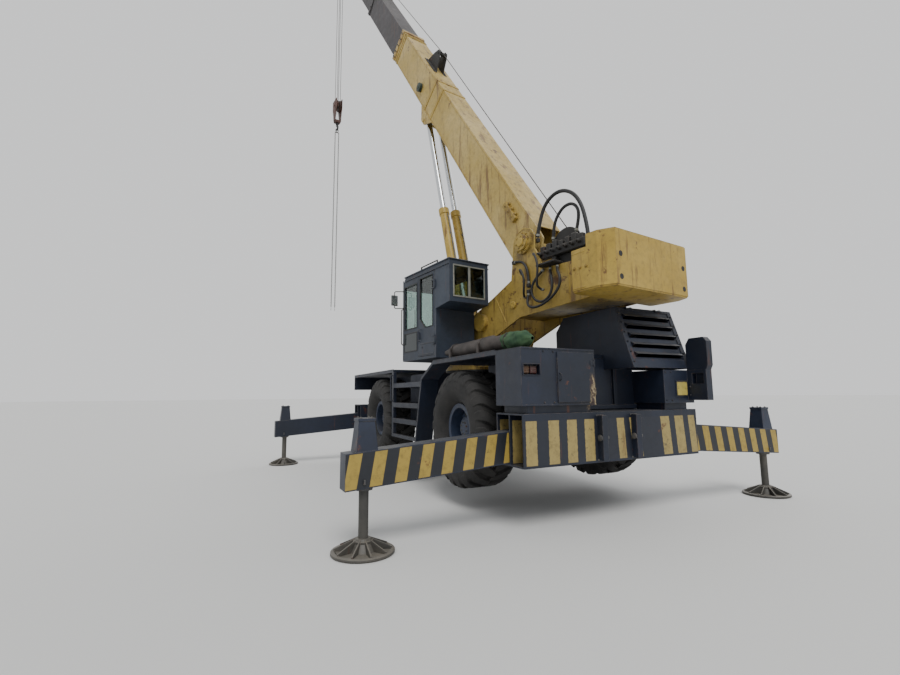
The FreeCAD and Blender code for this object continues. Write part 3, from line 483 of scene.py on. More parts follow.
# Values that several paints share
NAVY = dict(base="121927", faded="1e2638", dust=0.5, dirt="5f5d59")
OLD_YELLOW = dict(deep="5c4a2a", bare="4a4238")
PAINTS = {
    "carrier": dict(NAVY, name="carrier_paint", marks_and_shade=carrier_marks),
    "rear_box": dict(NAVY, name="rear_box_paint", marks_and_shade=box_stripes, spots=0.64),
    "rear_beam": dict(name="rear_beam_paint", base="182031", faded="262f42", dust=0.6, dirt="5f5d59",
                      marks_and_shade=beam_stripes),
    # The boom's marks add rust and painted shade on the boom's underside.
    "boom": dict(name="boom_paint", base="b59a4e", faded="c9b172", rust="55301d", spots=0.6,
                 deep="56431f", streaks=0.52, bare="4a4238", dust=0.25, marks_and_shade=boom_rust_and_shade),
    "frame": dict(OLD_YELLOW, name="frame_paint", base="9c8236", faded="b0964c", rust="4c2c1b",
                  spots=0.56, streaks=0.52, dust=0.3, marks_and_shade=frame_marks),
    "yellow": dict(OLD_YELLOW, name="yellow_paint", base="a98c38", faded="bda14e", rust="55301d",
                   spots=0.61, streaks=0.54, dust=0.3),
    "dark_section": dict(name="section_paint", base="272324", faded="3a3538", dust=0.35,
                         rust="55392a", deep="1e1b1a", streaks=0.57),
    "cab": dict(name="cab_paint", base="232b38", faded="333d4b", spots=0.66),
    "cast": dict(name="dark_castings", base="1f2022", faded="2e2c29", rough=0.6, dust=0.3),
    "jack": dict(name="jack_steel", base="3a3936", faded="5c5850", rough=0.5),
    "rim": dict(name="rim_paint", base="242d40", faded="38445c", dust=0.2),
    "plate": dict(name="plate_paint", base="b9a64f", faded="c4b36a", spots=0.66, dust=0.1, rough=0.4),
    "steel": dict(name="bolt_steel", base="4a4a4a", faded="6a6862", spots=0.58, edge_radius=0.003,
                  rough=0.5),
    "fitting": dict(name="hose_fittings", base="77786f", faded="94948a", spots=0.6,
                    edge_radius=0.003, rough=0.4),
    "reel": dict(name="reel_paint", base="26342d", faded="36463c", edge_radius=0.004),
    "block": dict(name="hook_block_paint", base="4a2a20", faded="5e3a2c", rust="3a241a", spots=0.5,
                  bare="5c5048"),
    "lamp_red": dict(name="red_lens", base="3a1413", faded="4a1b18", spots=0.75, rough=0.25),
    "lamp_amber": dict(name="amber_lens", base="4a2c14", faded="5a3a1e", spots=0.75, rough=0.25),
    "lamp_clear": dict(name="clear_lens", base="a8adb0", faded="b6babc", spots=0.8, rough=0.15),
}
EVEN_STUFFS = {
    # material's name, size of its grain, two colours, roughness, share of metal
    "chrome": ("plated_rod", 4.0, "b9bcbf", "d4d6d8", 0.16, 1.0),
    "rope": ("wire_rope", 30.0, "2b2927", "54504a", 0.5, 0.6),
    "chain": ("chain_steel", 20.0, "4b4a49", "77756f", 0.45, 0.8),
    "dark_glass": ("dark_glass", 3.0, "1c2425", "2a3436", 0.12, 0.0),
}


def tyre_rubber():
    p = Paint("tyre_rubber")
    colour = p.mix(p.ramp(p.noise(3.0, 7.0, 0.7), 0.3, 0.75), "1d1d1d", "363432")
    near, rounded = p.edge(0.02)
    colour = p.mix(p.times(p.ramp(near, 0.02, 0.2), 0.35), colour, "4a4845")
    return p.finish(colour, 0.88, p.bump(p.noise(35.0, 5.0, 0.7), 0.4, 0.01, rounded))


def exhaust_steel():
    p = Paint("exhaust_steel")
    colour = p.mix(p.ramp(p.noise(4.0, 6.0, 0.7), 0.3, 0.7), "332f2d", "534c48")
    return p.finish(colour, 0.62, p.bump(p.noise(40.0), 0.3, 0.004), 0.3)


def seat_vinyl():
    p = Paint("seat_vinyl")
    return p.finish(p.mix(p.noise(8.0), "2a2a2c", "39383a"), 0.55,
                    p.bump(p.noise(180.0, 3.0), 0.3, 0.002))


def window_glass():
    p = Paint("window_glass")
    p.shader.inputs["Transmission Weight"].default_value = 1.0
    p.shader.inputs["IOR"].default_value = 1.45
    smear = p.ramp(p.noise(3.0, 6.0, 0.7, stretch=(1, 1, 0.4)), 0.35, 0.8)
    return p.finish(p.mix(smear, "bccfc9", "a9bbb6"), p.times(smear, 0.12))


def hose_rubber():
    p = Paint("hose_rubber")
    dusty = p.times(p.ramp(p.nz, 0.2, 0.9), p.ramp(p.noise(12.0, 5.0, 0.7), 0.3, 0.7))
    return p.finish(p.mix(p.times(dusty, 0.5), "1c1c1d", "6b675f"), 0.55,
                    p.bump(p.noise(160.0, 2.0), 0.2, 0.002))


def cover_cloth():
    p = Paint("cover_cloth")
    colour = p.mix(p.ramp(p.noise(6.0, 6.0, 0.65), 0.3, 0.7), "21402a", "44603f")
    return p.finish(colour, 0.9, p.bump(p.noise(260.0, 2.0, 0.5), 0.3, 0.002))


def make_materials():
    for key, settings in PAINTS.items():
        MATERIALS[key] = weathered(**settings)
    for key, (name, grain, low, high, rough, metal) in EVEN_STUFFS.items():
        p = Paint(name)
        MATERIALS[key] = p.finish(p.mix(p.noise(grain), low, high), rough, None, metal)
    MATERIALS.update(tyre=tyre_rubber(), exhaust=exhaust_steel(), seat=seat_vinyl(),
                     glass=window_glass(), hose=hose_rubber(), cover=cover_cloth())


MATERIAL_OF = {
    "rear_outrigger_box": "rear_box", "beam_rear_left": "rear_beam", "beam_rear_right": "rear_beam",
    "jack_": "jack", "tyre_": "tyre", "rim_": "rim", "knuckle_": "cast", "front_axle": "cast",
    "rear_axle": "cast", "slew_ring": "cast", "engine_block": "cast", "silencer": "exhaust",
    "turntable_frame": "frame", "counterweight": "yellow", "cab_shell": "cab",
    "cab_door_glass": "glass", "cab_glass": "glass", "cab_door": "cab", "cab_seat": "seat",
    "winch": "cast", "boom_base": "boom", "boom_2": "dark_section", "boom_3": "dark_section",
    "boom_4": "dark_section", "head_sheaves": "cast", "lift_barrels": "yellow",
    "lift_rods": "chrome", "hoist_falls": "rope", "hook_block": "cast", "chain_sling": "chain",
}


def material_of(node):
    """Key of a node's material, from its whole name or from its start before the corner's name."""
    start = node.split("_")[0] + "_"
    return MATERIAL_OF.get(node) or MATERIAL_OF.get(start, "carrier")


def dress_nodes():
    for name, piece in NODES.items():
        piece.data.materials.clear()
        piece.data.materials.append(MATERIALS[material_of(name)])


# Pieces, drawn in one of the three frames

def turns(count):
    """Angles that divide a full turn."""
    return [2 * math.pi * i / count for i in range(count)]


def about(middle, half):
    """Range from its middle and half its width."""
    return middle - half, middle + half


def ring_places(centre, radius, count, turn=0.0):
    """Places round a circle that lies across x."""
    x, y, z = centre
    for angle in turns(count):
        angle += math.radians(turn)
        yield x, y + radius * math.cos(angle), z + radius * math.sin(angle)


class Draft:
    """One mesh in the making; every shape is added in the given frame."""

    def __init__(self, name, place):
        self.name = name
        self.place = place
        self.mesh = bmesh.new()

    def corners(self, places):
        return [self.mesh.verts.new(place) for place in places]

    def circle(self, centre, side, other, radius, sides):
        return self.corners(centre + (side * math.cos(a) + other * math.sin(a)) * radius
                            for a in turns(sides))

    def skin(self, rings, closed=False):
        """Faces between rings of corners, where a ring may be a single corner."""
        sides = max(len(ring) for ring in rings)
        for a, b in zip(rings, rings[1:]):
            for i in range(sides):
                j = (i + 1) % sides
                loop = dict.fromkeys((a[i % len(a)], a[j % len(a)], b[j % len(b)], b[i % len(b)]))
                if len(loop) > 2:
                    self.mesh.faces.new(list(loop))
        if closed:
            self.mesh.faces.new(rings[0][::-1])
            self.mesh.faces.new(rings[-1])

    def prism(self, low, top):
        """Solid between two like outlines."""
        self.skin([self.corners(low), self.corners(top)], True)

    def slab(self, outline, low, top):
        """Upright slab with an outline given as (x, y)."""
        self.prism([(x, y, low) for x, y in outline], [(x, y, top) for x, y in outline])

    def cheek(self, outline, low, top):
        """Plate across x with an outline given as (y, z)."""
        self.prism([(low, y, z) for y, z in outline], [(top, y, z) for y, z in outline])

    def plate(self, outline, thickness):
        """Flat plate from corner points, thickened along its normal."""
        a, b, c = outline[:3]
        rise = (b - a).cross(c - a).normalized() * thickness
        self.prism(outline, [corner + rise for corner in outline])

    def box(self, x, y, z, bevel=0.004):
        """Block between three ranges, with softened edges."""
        low = Vector([min(span) for span in (x, y, z)])
        high = Vector([max(span) for span in (x, y, z)])
        size = high - low
        verts = bmesh.ops.create_cube(self.mesh, size=1.0)["verts"]
        turn = Matrix.Translation((low + high) / 2) @ Matrix.Diagonal((*size, 1.0))
        bmesh.ops.transform(self.mesh, matrix=turn, verts=verts)
        edges = list({e for v in verts for e in v.link_edges})
        bmesh.ops.bevel(self.mesh, geom=edges, offset=min(bevel, min(size) * 0.3), segments=1,
                        affect="EDGES")

    def turned(self, profile, start, axis, sides=12):
        """Profile of (along, radius) pairs swept round an axis."""
        axis = Vector(axis).normalized()
        side = axis.orthogonal().normalized()
        other = axis.cross(side)
        self.skin([self.circle(Vector(start) + axis * along, side, other, radius, sides if radius else 1)
                   for along, radius in profile])

    def solid(self, profile, start, axis, sides=12):
        """Turned shape whose profile is closed by a flat face at each end."""
        first, last = profile[0][0], profile[-1][0]
        self.turned([(first, 0), *profile, (last, 0)], start, axis, sides)

    def bolt(self, place, axis, across, height):
        """Hexagon head with a washer and a short stud end."""
        r, h = across / 2, height
        self.turned([(0, 0), (0, r * 1.5), (h * 0.2, r * 1.5), (h * 0.2, r * 1.08)], place, axis, 10)
        self.turned([(h * 0.2, r * 1.08), (h * 0.85, r * 1.08), (h, r * 0.9), (h, r * 0.5),
                     (h * 1.4, r * 0.5), (h * 1.4, 0)], place, axis, 6)

    def bolts(self, places, axis, across, height):
        for place in places:
            self.bolt(place, axis, across, height)

    def tube(self, points, radius, sides=8):
        """Round bar through points, mitred at its corners."""
        points = [Vector(point) for point in points]
        runs = [(b - a).normalized() for a, b in zip(points, points[1:])]
        side = runs[0].orthogonal().normalized()
        rings = []
        for point, before, after in zip(points, runs[:1] + runs, runs + runs[-1:]):
            ahead = (before + after).normalized()
            side = (side - ahead * side.dot(ahead)).normalized()
            grow = 1 / max(0.5, ahead.dot(before))
            rings.append(self.circle(point, side, ahead.cross(side), radius * grow, sides))
        self.skin(rings, True)

    def taper(self, points, radii, sides):
        """Round bar through points in a plane across x, with a radius for each."""
        points = [Vector(point) for point in points]
        rings = []
        for point, radius, before, after in zip(points, radii, points[:1] + points,
                                                points[1:] + points[-1:]):
            ahead = (after - before).normalized()
            side = Vector(X)
            rings.append(self.circle(point, side, ahead.cross(side), radius, sides))
        self.skin(rings, True)

    def object(self, material, smooth=30):
        """The finished piece as a Blender object at the origin."""
        bmesh.ops.transform(self.mesh, matrix=self.place, verts=self.mesh.verts)
        bmesh.ops.recalc_face_normals(self.mesh, faces=self.mesh.faces)
        data = bpy.data.meshes.new(self.name)
        self.mesh.to_mesh(data)
        self.mesh.free()
        data.materials.append(MATERIALS[material])
        for polygon in data.polygons:
            polygon.use_smooth = True
        data.set_sharp_from_angle(angle=math.radians(smooth))
        return show(self.name, data)


def riding(draft, material, body="carrier", slot="carrier_blue", smooth=30):
    """The finished piece, tied to its body; the slot is not used."""
    piece = draft.object(material, smooth)
    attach(piece, body)
    return piece


def slewing(draft, material, slot="steel_dark", smooth=30):
    return riding(draft, material, "superstructure", slot, smooth)


# Wheels

TYRE_CARCASS = (
    # across from the middle, radius
    (0.2, 0.325), (0.2, 0.384), (0.256, 0.42), (0.31, 0.49), (0.338, 0.56), (0.34, 0.62),
    (0.335, 0.7), (0.318, 0.755), (0.285, 0.795), (0.22, 0.808), (0.11, 0.812),
)
TYRE_LUG = (
    # across at the top, radius at the top, across at the root, radius at the root, half width, slant
    (-0.02, 0.864, -0.02, 0.8, 0.04, 0.0), (0.07, 0.8645, 0.07, 0.8, 0.062, 0.05),
    (0.15, 0.8645, 0.15, 0.798, 0.066, 0.115), (0.225, 0.862, 0.215, 0.79, 0.068, 0.17),
    (0.283, 0.838, 0.262, 0.77, 0.068, 0.2), (0.318, 0.785, 0.292, 0.73, 0.062, 0.21),
    (0.339, 0.715, 0.322, 0.69, 0.05, 0.21),
)
LUG_COUNT = 22
LUG_FLARE = 1.18


def tyres():
    """Tyres with bars across each half of the tread, in place of the plain rings."""
    profile = [(-a, r) for a, r in TYRE_CARCASS] + list(TYRE_CARCASS[::-1])
    for corner, (x, y) in WHEEL_PLACES.items():
        draft = Draft("tread_" + corner, CARRIER @ Matrix.Translation((x, y, AXLE_Z)))
        draft.turned(profile + [profile[0]], (0, 0, 0), X, 96)
        for half, i in product(SIDES, range(LUG_COUNT)):
            tyre_lug(draft, half, 2 * math.pi * (i + 0.25 * half) / LUG_COUNT)
        piece = riding(draft, "tyre", "wheel_" + corner, "tyre", 40)
        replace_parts(piece, "tyre_" + corner)


def tyre_lug(draft, half, middle):
    rings = []
    for top_x, top_r, root_x, root_r, width, slant in TYRE_LUG:
        ring = []
        for across, radius, spread in ((root_x, root_r, LUG_FLARE), (top_x, top_r, 1.0),
                                       (top_x, top_r, -1.0), (root_x, root_r, -LUG_FLARE)):
            angle = middle + slant + spread * width / radius
            ring.append((half * across, radius * math.cos(angle), radius * math.sin(angle)))
        rings.append(draft.corners(ring))
    draft.skin(rings, True)


def wheel_nuts():
    """Nuts of each rim and hub, and the valve stem."""
    for corner, (x, y) in WHEEL_PLACES.items():
        side = 1 if x > 0 else -1
        out = (side, 0, 0)
        draft = Draft("nuts_" + corner, CARRIER)
        draft.bolts(ring_places((x + side * 0.008, y, AXLE_Z), 0.25, 14), out, 0.042, 0.026)
        draft.bolts(ring_places((x + side * 0.149, y, AXLE_Z), 0.09, 8, 20), out, 0.024, 0.012)
        draft.solid([(0, 0.007), (0.03, 0.006), (0.034, 0.009), (0.05, 0.009)],
                    (x + side * 0.02, y + 0.293, AXLE_Z), out, 8)
        riding(draft, "steel", "wheel_" + corner, "rim")


# Outriggers

FOOT_WEB = ((0.075, 0.026), (0.305, 0.026), (0.305, 0.05), (0.085, 0.148))


def jack_feet():
    """Round rims, webs and a collar on the feet, with a bolted gland below each tower."""
    for corner, (x, y) in JACK_PLACES.items():
        place = CARRIER @ Matrix.Translation((x, y, 0))
        draft = Draft("foot_webs_" + corner, place)
        draft.turned([(0.002, 0.29), (0.002, 0.325), (0.012, 0.335), (0.03, 0.333), (0.036, 0.322),
                      (0.036, 0.29), (0.002, 0.29)], (0, 0, 0), Z, 40)
        for angle in turns(10):
            turn = Matrix.Rotation(angle + math.pi / 10, 3, "Z")
            draft.prism(*([turn @ Vector((out, across, z)) for out, z in FOOT_WEB]
                          for across in (-0.007, 0.007)))
        draft.turned([(0, 0.0526), (0, 0.104), (0.022, 0.104), (0.028, 0.092), (0.044, 0.082),
                      (0.044, 0.0526), (0, 0.0526)], (0, 0, 0.108), Z, 24)
        riding(draft, "jack", "jack_" + corner, "jack_steel")
        draft = Draft("jack_gland_" + corner, place)
        draft.turned([(0, 0.056), (0, 0.094), (0.035, 0.094), (0.035, 0.086)], (0, 0, 0.64), Z, 24)
        draft.bolts(product((0.06, -0.06), (0.06, -0.06), (1.389,)), Z, 0.024, 0.012)
        draft.tube([(0.03, 0.086, 0.70), (0.03, 0.14, 0.72), (0.03, 0.14, 0.76)], 0.01)
        riding(draft, "steel", "beam_" + corner)


# What slews

def pin_bolts():
    """Caps and rings of bolts on the frame's pins, and three bolts at each of the weight's ends."""
    rings = (
        # centre, radius, count, size of the bolts
        ((0.565, PIVOT_Y, PIVOT_Z), 0.165, 10, 0.026), ((0.609, 0.79, 2.94), 0.13, 8, 0.022),
        ((0.609, PIVOT_Y, PIVOT_Z), 0.1, 6, 0.024), ((0.553, GEAR_Y, GEAR_Z), 0.04, 4, 0.016),
    )
    caps = (
        # centre, profile
        ((FRAME_SIDE, GEAR_Y, GEAR_Z), [(0, 0.062), (0.028, 0.062), (0.034, 0.054)]),
        ((0.609, PIVOT_Y, PIVOT_Z), [(0, 0.075), (0.012, 0.075), (0.02, 0.066)]),
        ((FRAME_SIDE, LIFT_FOOT.y, LIFT_FOOT.z), [(0, 0.085), (0.012, 0.085), (0.018, 0.076)]),
    )
    draft = Draft("pin_bolts", UPPER)
    for side in SIDES:
        out = (side, 0, 0)
        for (x, y, z), radius, count, across in rings:
            draft.bolts(ring_places((side * x, y, z), radius, count, 15), out, across, across * 0.5)
        for (x, y, z), profile in caps:
            draft.solid(profile, (side * x, y, z), out, 24)
        draft.bolts([(side * 0.9, y, 3.3) for y in (3.34, 3.44, 3.54)], out, 0.034, 0.02)
    slewing(draft, "yellow", "boom_yellow")


def frame_stiffeners():
    """Flanges welded along the edges of the side plates, with three ribs on each plate."""
    draft = Draft("frame_flanges", UPPER)
    rear_edge = ((2.4, 3.6), (2.19, 3.98), (2.2, 4.2), (2.11, 4.33), (1.95, 4.39), (1.79, 4.33),
                 (1.7, 4.2), (1.62, 3.56), (1.06, 3.32), (-0.13, 2.86))
    low_edge = ((0.84, 2.24), (1.01, 2.6), (1.8, 2.905), (3.27, 2.985))
    ribs = (((1.2, 3.3), (1.45, 2.86)), ((2.1, 3.7), (2.1, 3.05)), ((2.9, 3.55), (2.9, 3.0)))
    for side in SIDES:
        for line in (rear_edge, low_edge):
            draft.tube([(side * 0.516, y, z) for y, z in line], 0.009, 6)
        for line in ribs:
            draft.tube([(side * 0.522, y, z) for y, z in line], 0.006, 6)
    slewing(draft, "yellow", "boom_yellow")


def counterweight():
    """Cast weight with cut rear corners, a raised rear half and shallow holes in its rear, drawn as dark
    discs whose darkness is painted shade.
    """
    front, rear, corner, half, cut = 3.2703, 3.93, 3.725, 0.9, 0.79
    low, shoulder, top, step = 2.98, 3.56, 3.735, 3.55
    back = [(half, corner), (cut, rear), (-cut, rear), (-half, corner)]
    outline = [(half, front + 0.03), *back, (-half, front + 0.03), (-half + 0.03, front),
               (half - 0.03, front)]
    raised = [(half, step), *back, (-half, step), (-0.34, step), (-0.34, step + 0.05),
              (0.34, step + 0.05), (0.34, step)]
    draft = Draft("weight_casting", UPPER)
    draft.slab(outline, low + 0.02, shoulder)
    draft.slab([(x * 0.985, front + (y - front) * 0.985 + 0.002) for x, y in outline], low, low + 0.021)
    draft.slab(raised, shoulder - 0.001, top - 0.012)
    draft.slab([(x * 0.988, step + 0.004 + (y - step) * 0.97) for x, y in raised], top - 0.013, top)
    for side, z in product(SIDES, (3.02, 3.5)):
        draft.box((side * 0.886, side * 0.904), (3.3, 3.52), (z, z + 0.02), 0.002)
    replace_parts(slewing(draft, "yellow", "boom_yellow", 25), "counterweight")
    # Painted shade: dark, barely dished discs stand for the shaded insides of the holes.
    draft = Draft("weight_hole_shade_discs", UPPER)
    for side, z in product(SIDES, (3.1, 3.4)):
        draft.solid([(-0.02, 0.036), (0.002, 0.038), (0.002, 0.026), (0.0008, 0.024)],
                    (side * 0.7, rear, z), Y, 20)
    slewing(draft, "cast")


def valve_bank():
    """Control valves beside the winch with their spools, a bracket and the hoses' fittings."""
    draft = Draft("valve_bank", UPPER)
    draft.box((0.39, 0.485), (2.27, 3.19), (3.76, 3.9), 0.012)
    for i in range(7):
        y = 2.32 + 0.13 * i
        draft.box((0.395, 0.48), about(y, 0.046), (3.89, 3.97 + 0.02 * (i % 3)), 0.012)
        draft.solid([(0, 0.03), (0.05, 0.03), (0.06, 0.018), (0.09, 0.018)], (0.49, y, 3.84), X)
    for y in (2.56, 3.1):
        draft.box((0.4, 0.47), about(y, 0.04), (3.574, 3.745))
    draft.box((0.47, 0.68), (2.37, 2.75), (3.6, 3.63), 0.005)
    for y, z in ((1.72, 3.845), (2.067, 3.38), (2.065, 3.28)):
        draft.box((0.519, 0.575), about(y, 0.032), about(z, 0.03), 0.006)
    draft.box((0.42, 0.481), (2.17, 2.235), (4.08, 4.15), 0.006)
    slewing(draft, "cast")
    draft = Draft("hose_fittings", UPPER)
    for hose in HOSES:
        r, route = hose[1] / 2, hose[3]
        for end, inward in ((route[0], route[1]), (route[-1], route[-2])):
            away = (Vector(end) - Vector(inward)).normalized()
            draft.turned([(0, r * 1.02), (0, r * 1.2), (0.035, r * 1.2), (0.038, r * 0.8),
                          (0.05, r * 0.8), (0.05, 0)], Vector(end) - away * 0.05, away, 16)
    for y in (2.46, 2.93):
        draft.tube([(0.355, y, 4.08), (0.355, y, 4.03), (0.365, y, 4.0), (0.4, y, 3.985)], 0.02, 12)
    slewing(draft, "fitting")


def drum_rope():
    """Turns of rope side by side on the drum, with a motor and bolts at the drum's ends."""
    draft = Draft("drum_rope", UPPER)
    half, rounds = 0.299, 30
    pitch = 2 * half / rounds
    profile = [(-half, 0.181)]
    for i in range(rounds):
        for share, radius in ((0.1, 0.198), (0.35, 0.208), (0.65, 0.208), (0.9, 0.198)):
            profile.append((-half + (i + share) * pitch, radius))
    draft.turned(profile + [(half, 0.181)], (0, WINCH_Y, WINCH_Z), X, 40)
    slewing(draft, "rope", "rope", 60)
    draft = Draft("winch_motor", UPPER)
    draft.solid([(0, 0.12), (0.07, 0.12), (0.09, 0.085), (0.16, 0.085), (0.17, 0.06)],
                (-0.379, WINCH_Y, WINCH_Z), (-1, 0, 0), 28)
    for side, radius in ((-1, 0.14), (1, 0.05)):
        places = ring_places((side * 0.379, WINCH_Y, WINCH_Z), radius, 8, 10)
        draft.bolts([spot for spot in places if spot[2] < WINCH_Z + 0.045], (side, 0, 0), 0.022, 0.012)
    slewing(draft, "cast")


# Boom

COLLARS = (
    # body, side's place, bolts' places along and above, slot
    ("boom_base", 0.3275, (8.82, 8.9), (-0.44, -0.3, -0.13, 0.04, 0.18), "boom_yellow"),
    ("boom_2", 0.2925, (12.375,), (-0.4, -0.25, -0.01, 0.14), "section_grey"),
    ("boom_3", 0.2645, (15.545,), (-0.37, -0.22, -0.04, 0.11), "section_grey"),
)


def collar_bolts():
    for body, x, places, heights, slot in COLLARS:
        draft = Draft("collar_bolts_" + body, BOOM)
        for side, s, w in product(SIDES, places, heights):
            draft.bolt((side * x, -s, w), (side, 0, 0), 0.03, 0.018)
        riding(draft, "steel", body, slot)


def strap(draft, s, half_width, proud):
    """Flat band round the base section at a distance along the boom."""
    along = about(-s, half_width)
    high, low = BOOM_HIGH + proud, BOOM_LOW - proud
    for side in SIDES:
        draft.box((side * (BOOM_HALF - 0.001), side * (BOOM_HALF + proud)), along, (low, high), 0.002)
    for z in ((BOOM_HIGH - 0.001, high), (low, BOOM_LOW + 0.001)):
        draft.box((-BOOM_HALF, BOOM_HALF), along, z, 0.002)


def boom_bands():
    """Bands and a double rim round the base section, and its welds."""
    draft = Draft("boom_bands", BOOM)
    for s in BOOM_BANDS:
        strap(draft, s, 0.048, 0.01)
    for s in (8.55, 8.66):
        strap(draft, s, 0.012, 0.014)
    riding(draft, "yellow", "boom_base", "boom_yellow")
    draft = Draft("seam_welds", BOOM)
    for side, w in product(SIDES, (BOOM_LOW + 0.035, BOOM_HIGH - 0.035)):
        x = side * (BOOM_HALF + 0.001)
        draft.tube([(x, -0.6, w), (x, -8.5, w)], 0.005, 6)
    riding(draft, "yellow", "boom_base", "boom_yellow")


def boom_reel():
    """Cable reel on the boom's left side, and the valve block near the pivot."""
    x = BOOM_HALF
    draft = Draft("cable_reel", BOOM)
    draft.solid([(-0.001, 0.06), (0.02, 0.06), (0.02, 0.108), (0.03, 0.108), (0.034, 0.09), (0.06, 0.09),
                 (0.064, 0.108), (0.078, 0.108), (0.082, 0.098), (0.088, 0.05), (0.1, 0.04)],
                (x, *REEL_PLACE), X, 32)
    draft.bolts(ring_places((x + 0.078, *REEL_PLACE), 0.075, 6), X, 0.014, 0.008)
    riding(draft, "reel", "boom_base", "steel_dark")
    draft = Draft("boom_valve", BOOM)
    draft.box((x - 0.001, x + 0.07), (-1.18, -0.7), (-0.08, 0.04), 0.01)
    for s in (0.8, 0.95, 1.1):
        draft.solid([(0, 0.024), (0.03, 0.024), (0.036, 0.014)], (x + 0.03, -s, 0.04), Z)
        draft.bolt((x + 0.07, -s, -0.02), X, 0.026, 0.014)
    riding(draft, "frame", "boom_base", "boom_yellow")


def rope_guide():
    """Two cheeks on the boom's top with a roller for the hoist rope between them."""
    s, w, r = GUIDE_ROLLER
    outline = ((-6.44, BOOM_HIGH), (-6.6, 0.53), (-6.69, 0.64), (-6.81, 0.64), (-6.95, 0.51),
               (-7.16, BOOM_HIGH))
    draft = Draft("guide_cheeks", BOOM)
    for side in SIDES:
        draft.cheek(outline, *about(side * 0.0975, 0.0075))
        draft.box((side * 0.1, side * 0.19), (-7.2, -6.4), (BOOM_HIGH, BOOM_HIGH + 0.012), 0.003)
        draft.bolts([(side * 0.15, -along, BOOM_HIGH + 0.012) for along in (6.5, 6.8, 7.1)],
                    Z, 0.026, 0.014)
    riding(draft, "cast", "boom_base", "steel_dark")
    draft = Draft("guide_rollers", BOOM)
    draft.solid([(-0.085, r + 0.02), (-0.07, r + 0.02), (-0.06, r), (0.06, r), (0.07, r + 0.02),
                 (0.085, r + 0.02)], (0, -s, w), X, 20)
    draft.solid([(-0.125, 0.016), (0.125, 0.016)], (0, -s, w), X)
    riding(draft, "cast", "boom_base", "steel_dark")


# Hood, lockers, lamps and silencer

def hood_point(x, along, out):
    """Place on the hood's sloping rear: across, down from its crest and out from its face."""
    return Vector((x, HOOD_CREST.y, HOOD_CREST.z)) + HOOD_RUN * along + HOOD_OUT * out


def hood_fittings():
    """Lips over the louvres, a border with its bolts, two hinges and the side door's latches."""
    draft = Draft("louvre_lips", CARRIER)
    end = HOOD_FALL.length
    for a, b, start, stop in ((-1.48, -1.4, 0.0, end), (-0.41, -0.33, 0.0, end),
                              (-1.4, -0.41, 0.0, 0.04), (-1.4, -0.41, end - 0.13, end)):
        corners = ((a, start), (a, stop), (b, stop), (b, start))
        draft.prism(*([hood_point(x, along, out) for x, along in corners] for out in (-0.001, 0.011)))
    left, right = -0.438, -1.372
    for i in range(5):
        root = (HOOD_CREST.z - 2.202 - 0.14 * i) / 0.89 * end - 0.006
        tip = root + 0.052
        draft.plate([hood_point(right, root, 0), hood_point(left, root, 0),
                     hood_point(left, tip, 0.05), hood_point(right, tip, 0.05)], 0.004)
        for x in (right, left - 0.004):
            draft.plate([hood_point(x, root, 0), hood_point(x, tip, 0.05),
                         hood_point(x, root + 0.06, 0)], 0.004)
    riding(draft, "carrier")
    draft = Draft("hood_fittings", CARRIER)
    for x in (-1.44, -0.37):
        draft.bolts([hood_point(x, 0.1 + 0.15 * i, 0.011) for i in range(6)], HOOD_OUT, 0.022, 0.012)
    for x in (-1.2, -0.6):
        draft.tube([hood_point(a, 0.02, 0.02) for a in about(x, 0.07)], 0.014, 10)
        for a in about(x, 0.05):
            draft.box(about(a, 0.016), (3.25, 3.318), (2.866, 2.884))
    for y in (2.45, 3.05):
        draft.box((-1.497, -1.479), (y, y + 0.06), (2.3, 2.36))
        draft.tube([(-1.495, y + 0.03, 2.37), (-1.495, y + 0.03, 2.44)], 0.008)
    draft.box((-1.49, -1.48), (2.2, 3.0), (2.3, 2.78), 0.003)
    for x in (-1.3, -0.5):
        draft.turned([(0, 0.02), (0, 0.04), (0.02, 0.04), (0.02, 0.02)], (x, 2.6, 2.868), Z)
    riding(draft, "carrier")


def locker_fittings():
    """Hinges and latch of the left locker's door, its edges, and the top of the right wing."""
    draft = Draft("locker_fittings", CARRIER)
    for z in (1.66, 2.02):
        draft.tube([(0.394, 3.624, a) for a in about(z, 0.045)], 0.011, 10)
        draft.box((0.4, 0.46), (3.619, 3.625), about(z, 0.03), 0.002)
    draft.tube([(0.95, 3.619, 1.79), (0.95, 3.65, 1.81), (0.95, 3.65, 1.87), (0.95, 3.619, 1.89)], 0.007)
    for x, top in ((1.03, 2.15), (1.18, 2.15), (-1.45, 1.93), (-1.05, 1.93), (-0.94, 1.93)):
        draft.bolts([(x, LOCKER_REAR, z) for z in (1.53, top)], Y, 0.018, 0.01)
    for x in (0.375, 0.69, 1.0, 1.505):
        draft.box(about(x, 0.006), (3.0, LOCKER_REAR), (2.188, 2.196), 0.002)
    for z in ((2.172, 2.196), (1.49, 1.51)):
        draft.box(LOCKER_X, (LOCKER_REAR - 0.004, LOCKER_REAR + 0.006), z, 0.002)
    riding(draft, "carrier")
    draft = Draft("wing_top", CARRIER)
    draft.cheek(((3.6, 1.955), (3.9, 1.955), (3.93, 2.02), (3.93, 2.36), (3.88, 2.42), (3.66, 2.42),
                 (3.6, 2.33)), -1.508, -1.395)
    draft.bolts([(-1.389, 3.64, z) for z in (1.6, 1.72)], X, 0.02, 0.012)
    riding(draft, "carrier")


def tow_pins():
    """Retained pin through each tow post's eye."""
    draft = Draft("tow_pins", CARRIER)
    for x in (0.33, -0.26):
        place = (x, 3.665, 1.08)
        draft.solid([(-0.07, 0.026), (-0.062, 0.028), (0.062, 0.028), (0.07, 0.026)], place, X, 16)
        draft.turned([(0.055, 0.028), (0.055, 0.04), (0.065, 0.04), (0.065, 0.028)], place, X, 16)
        for z in (0.805, 1.355):
            draft.box(about(x, 0.06), (3.609, 3.619), about(z, 0.01), 0.002)
    riding(draft, "steel")


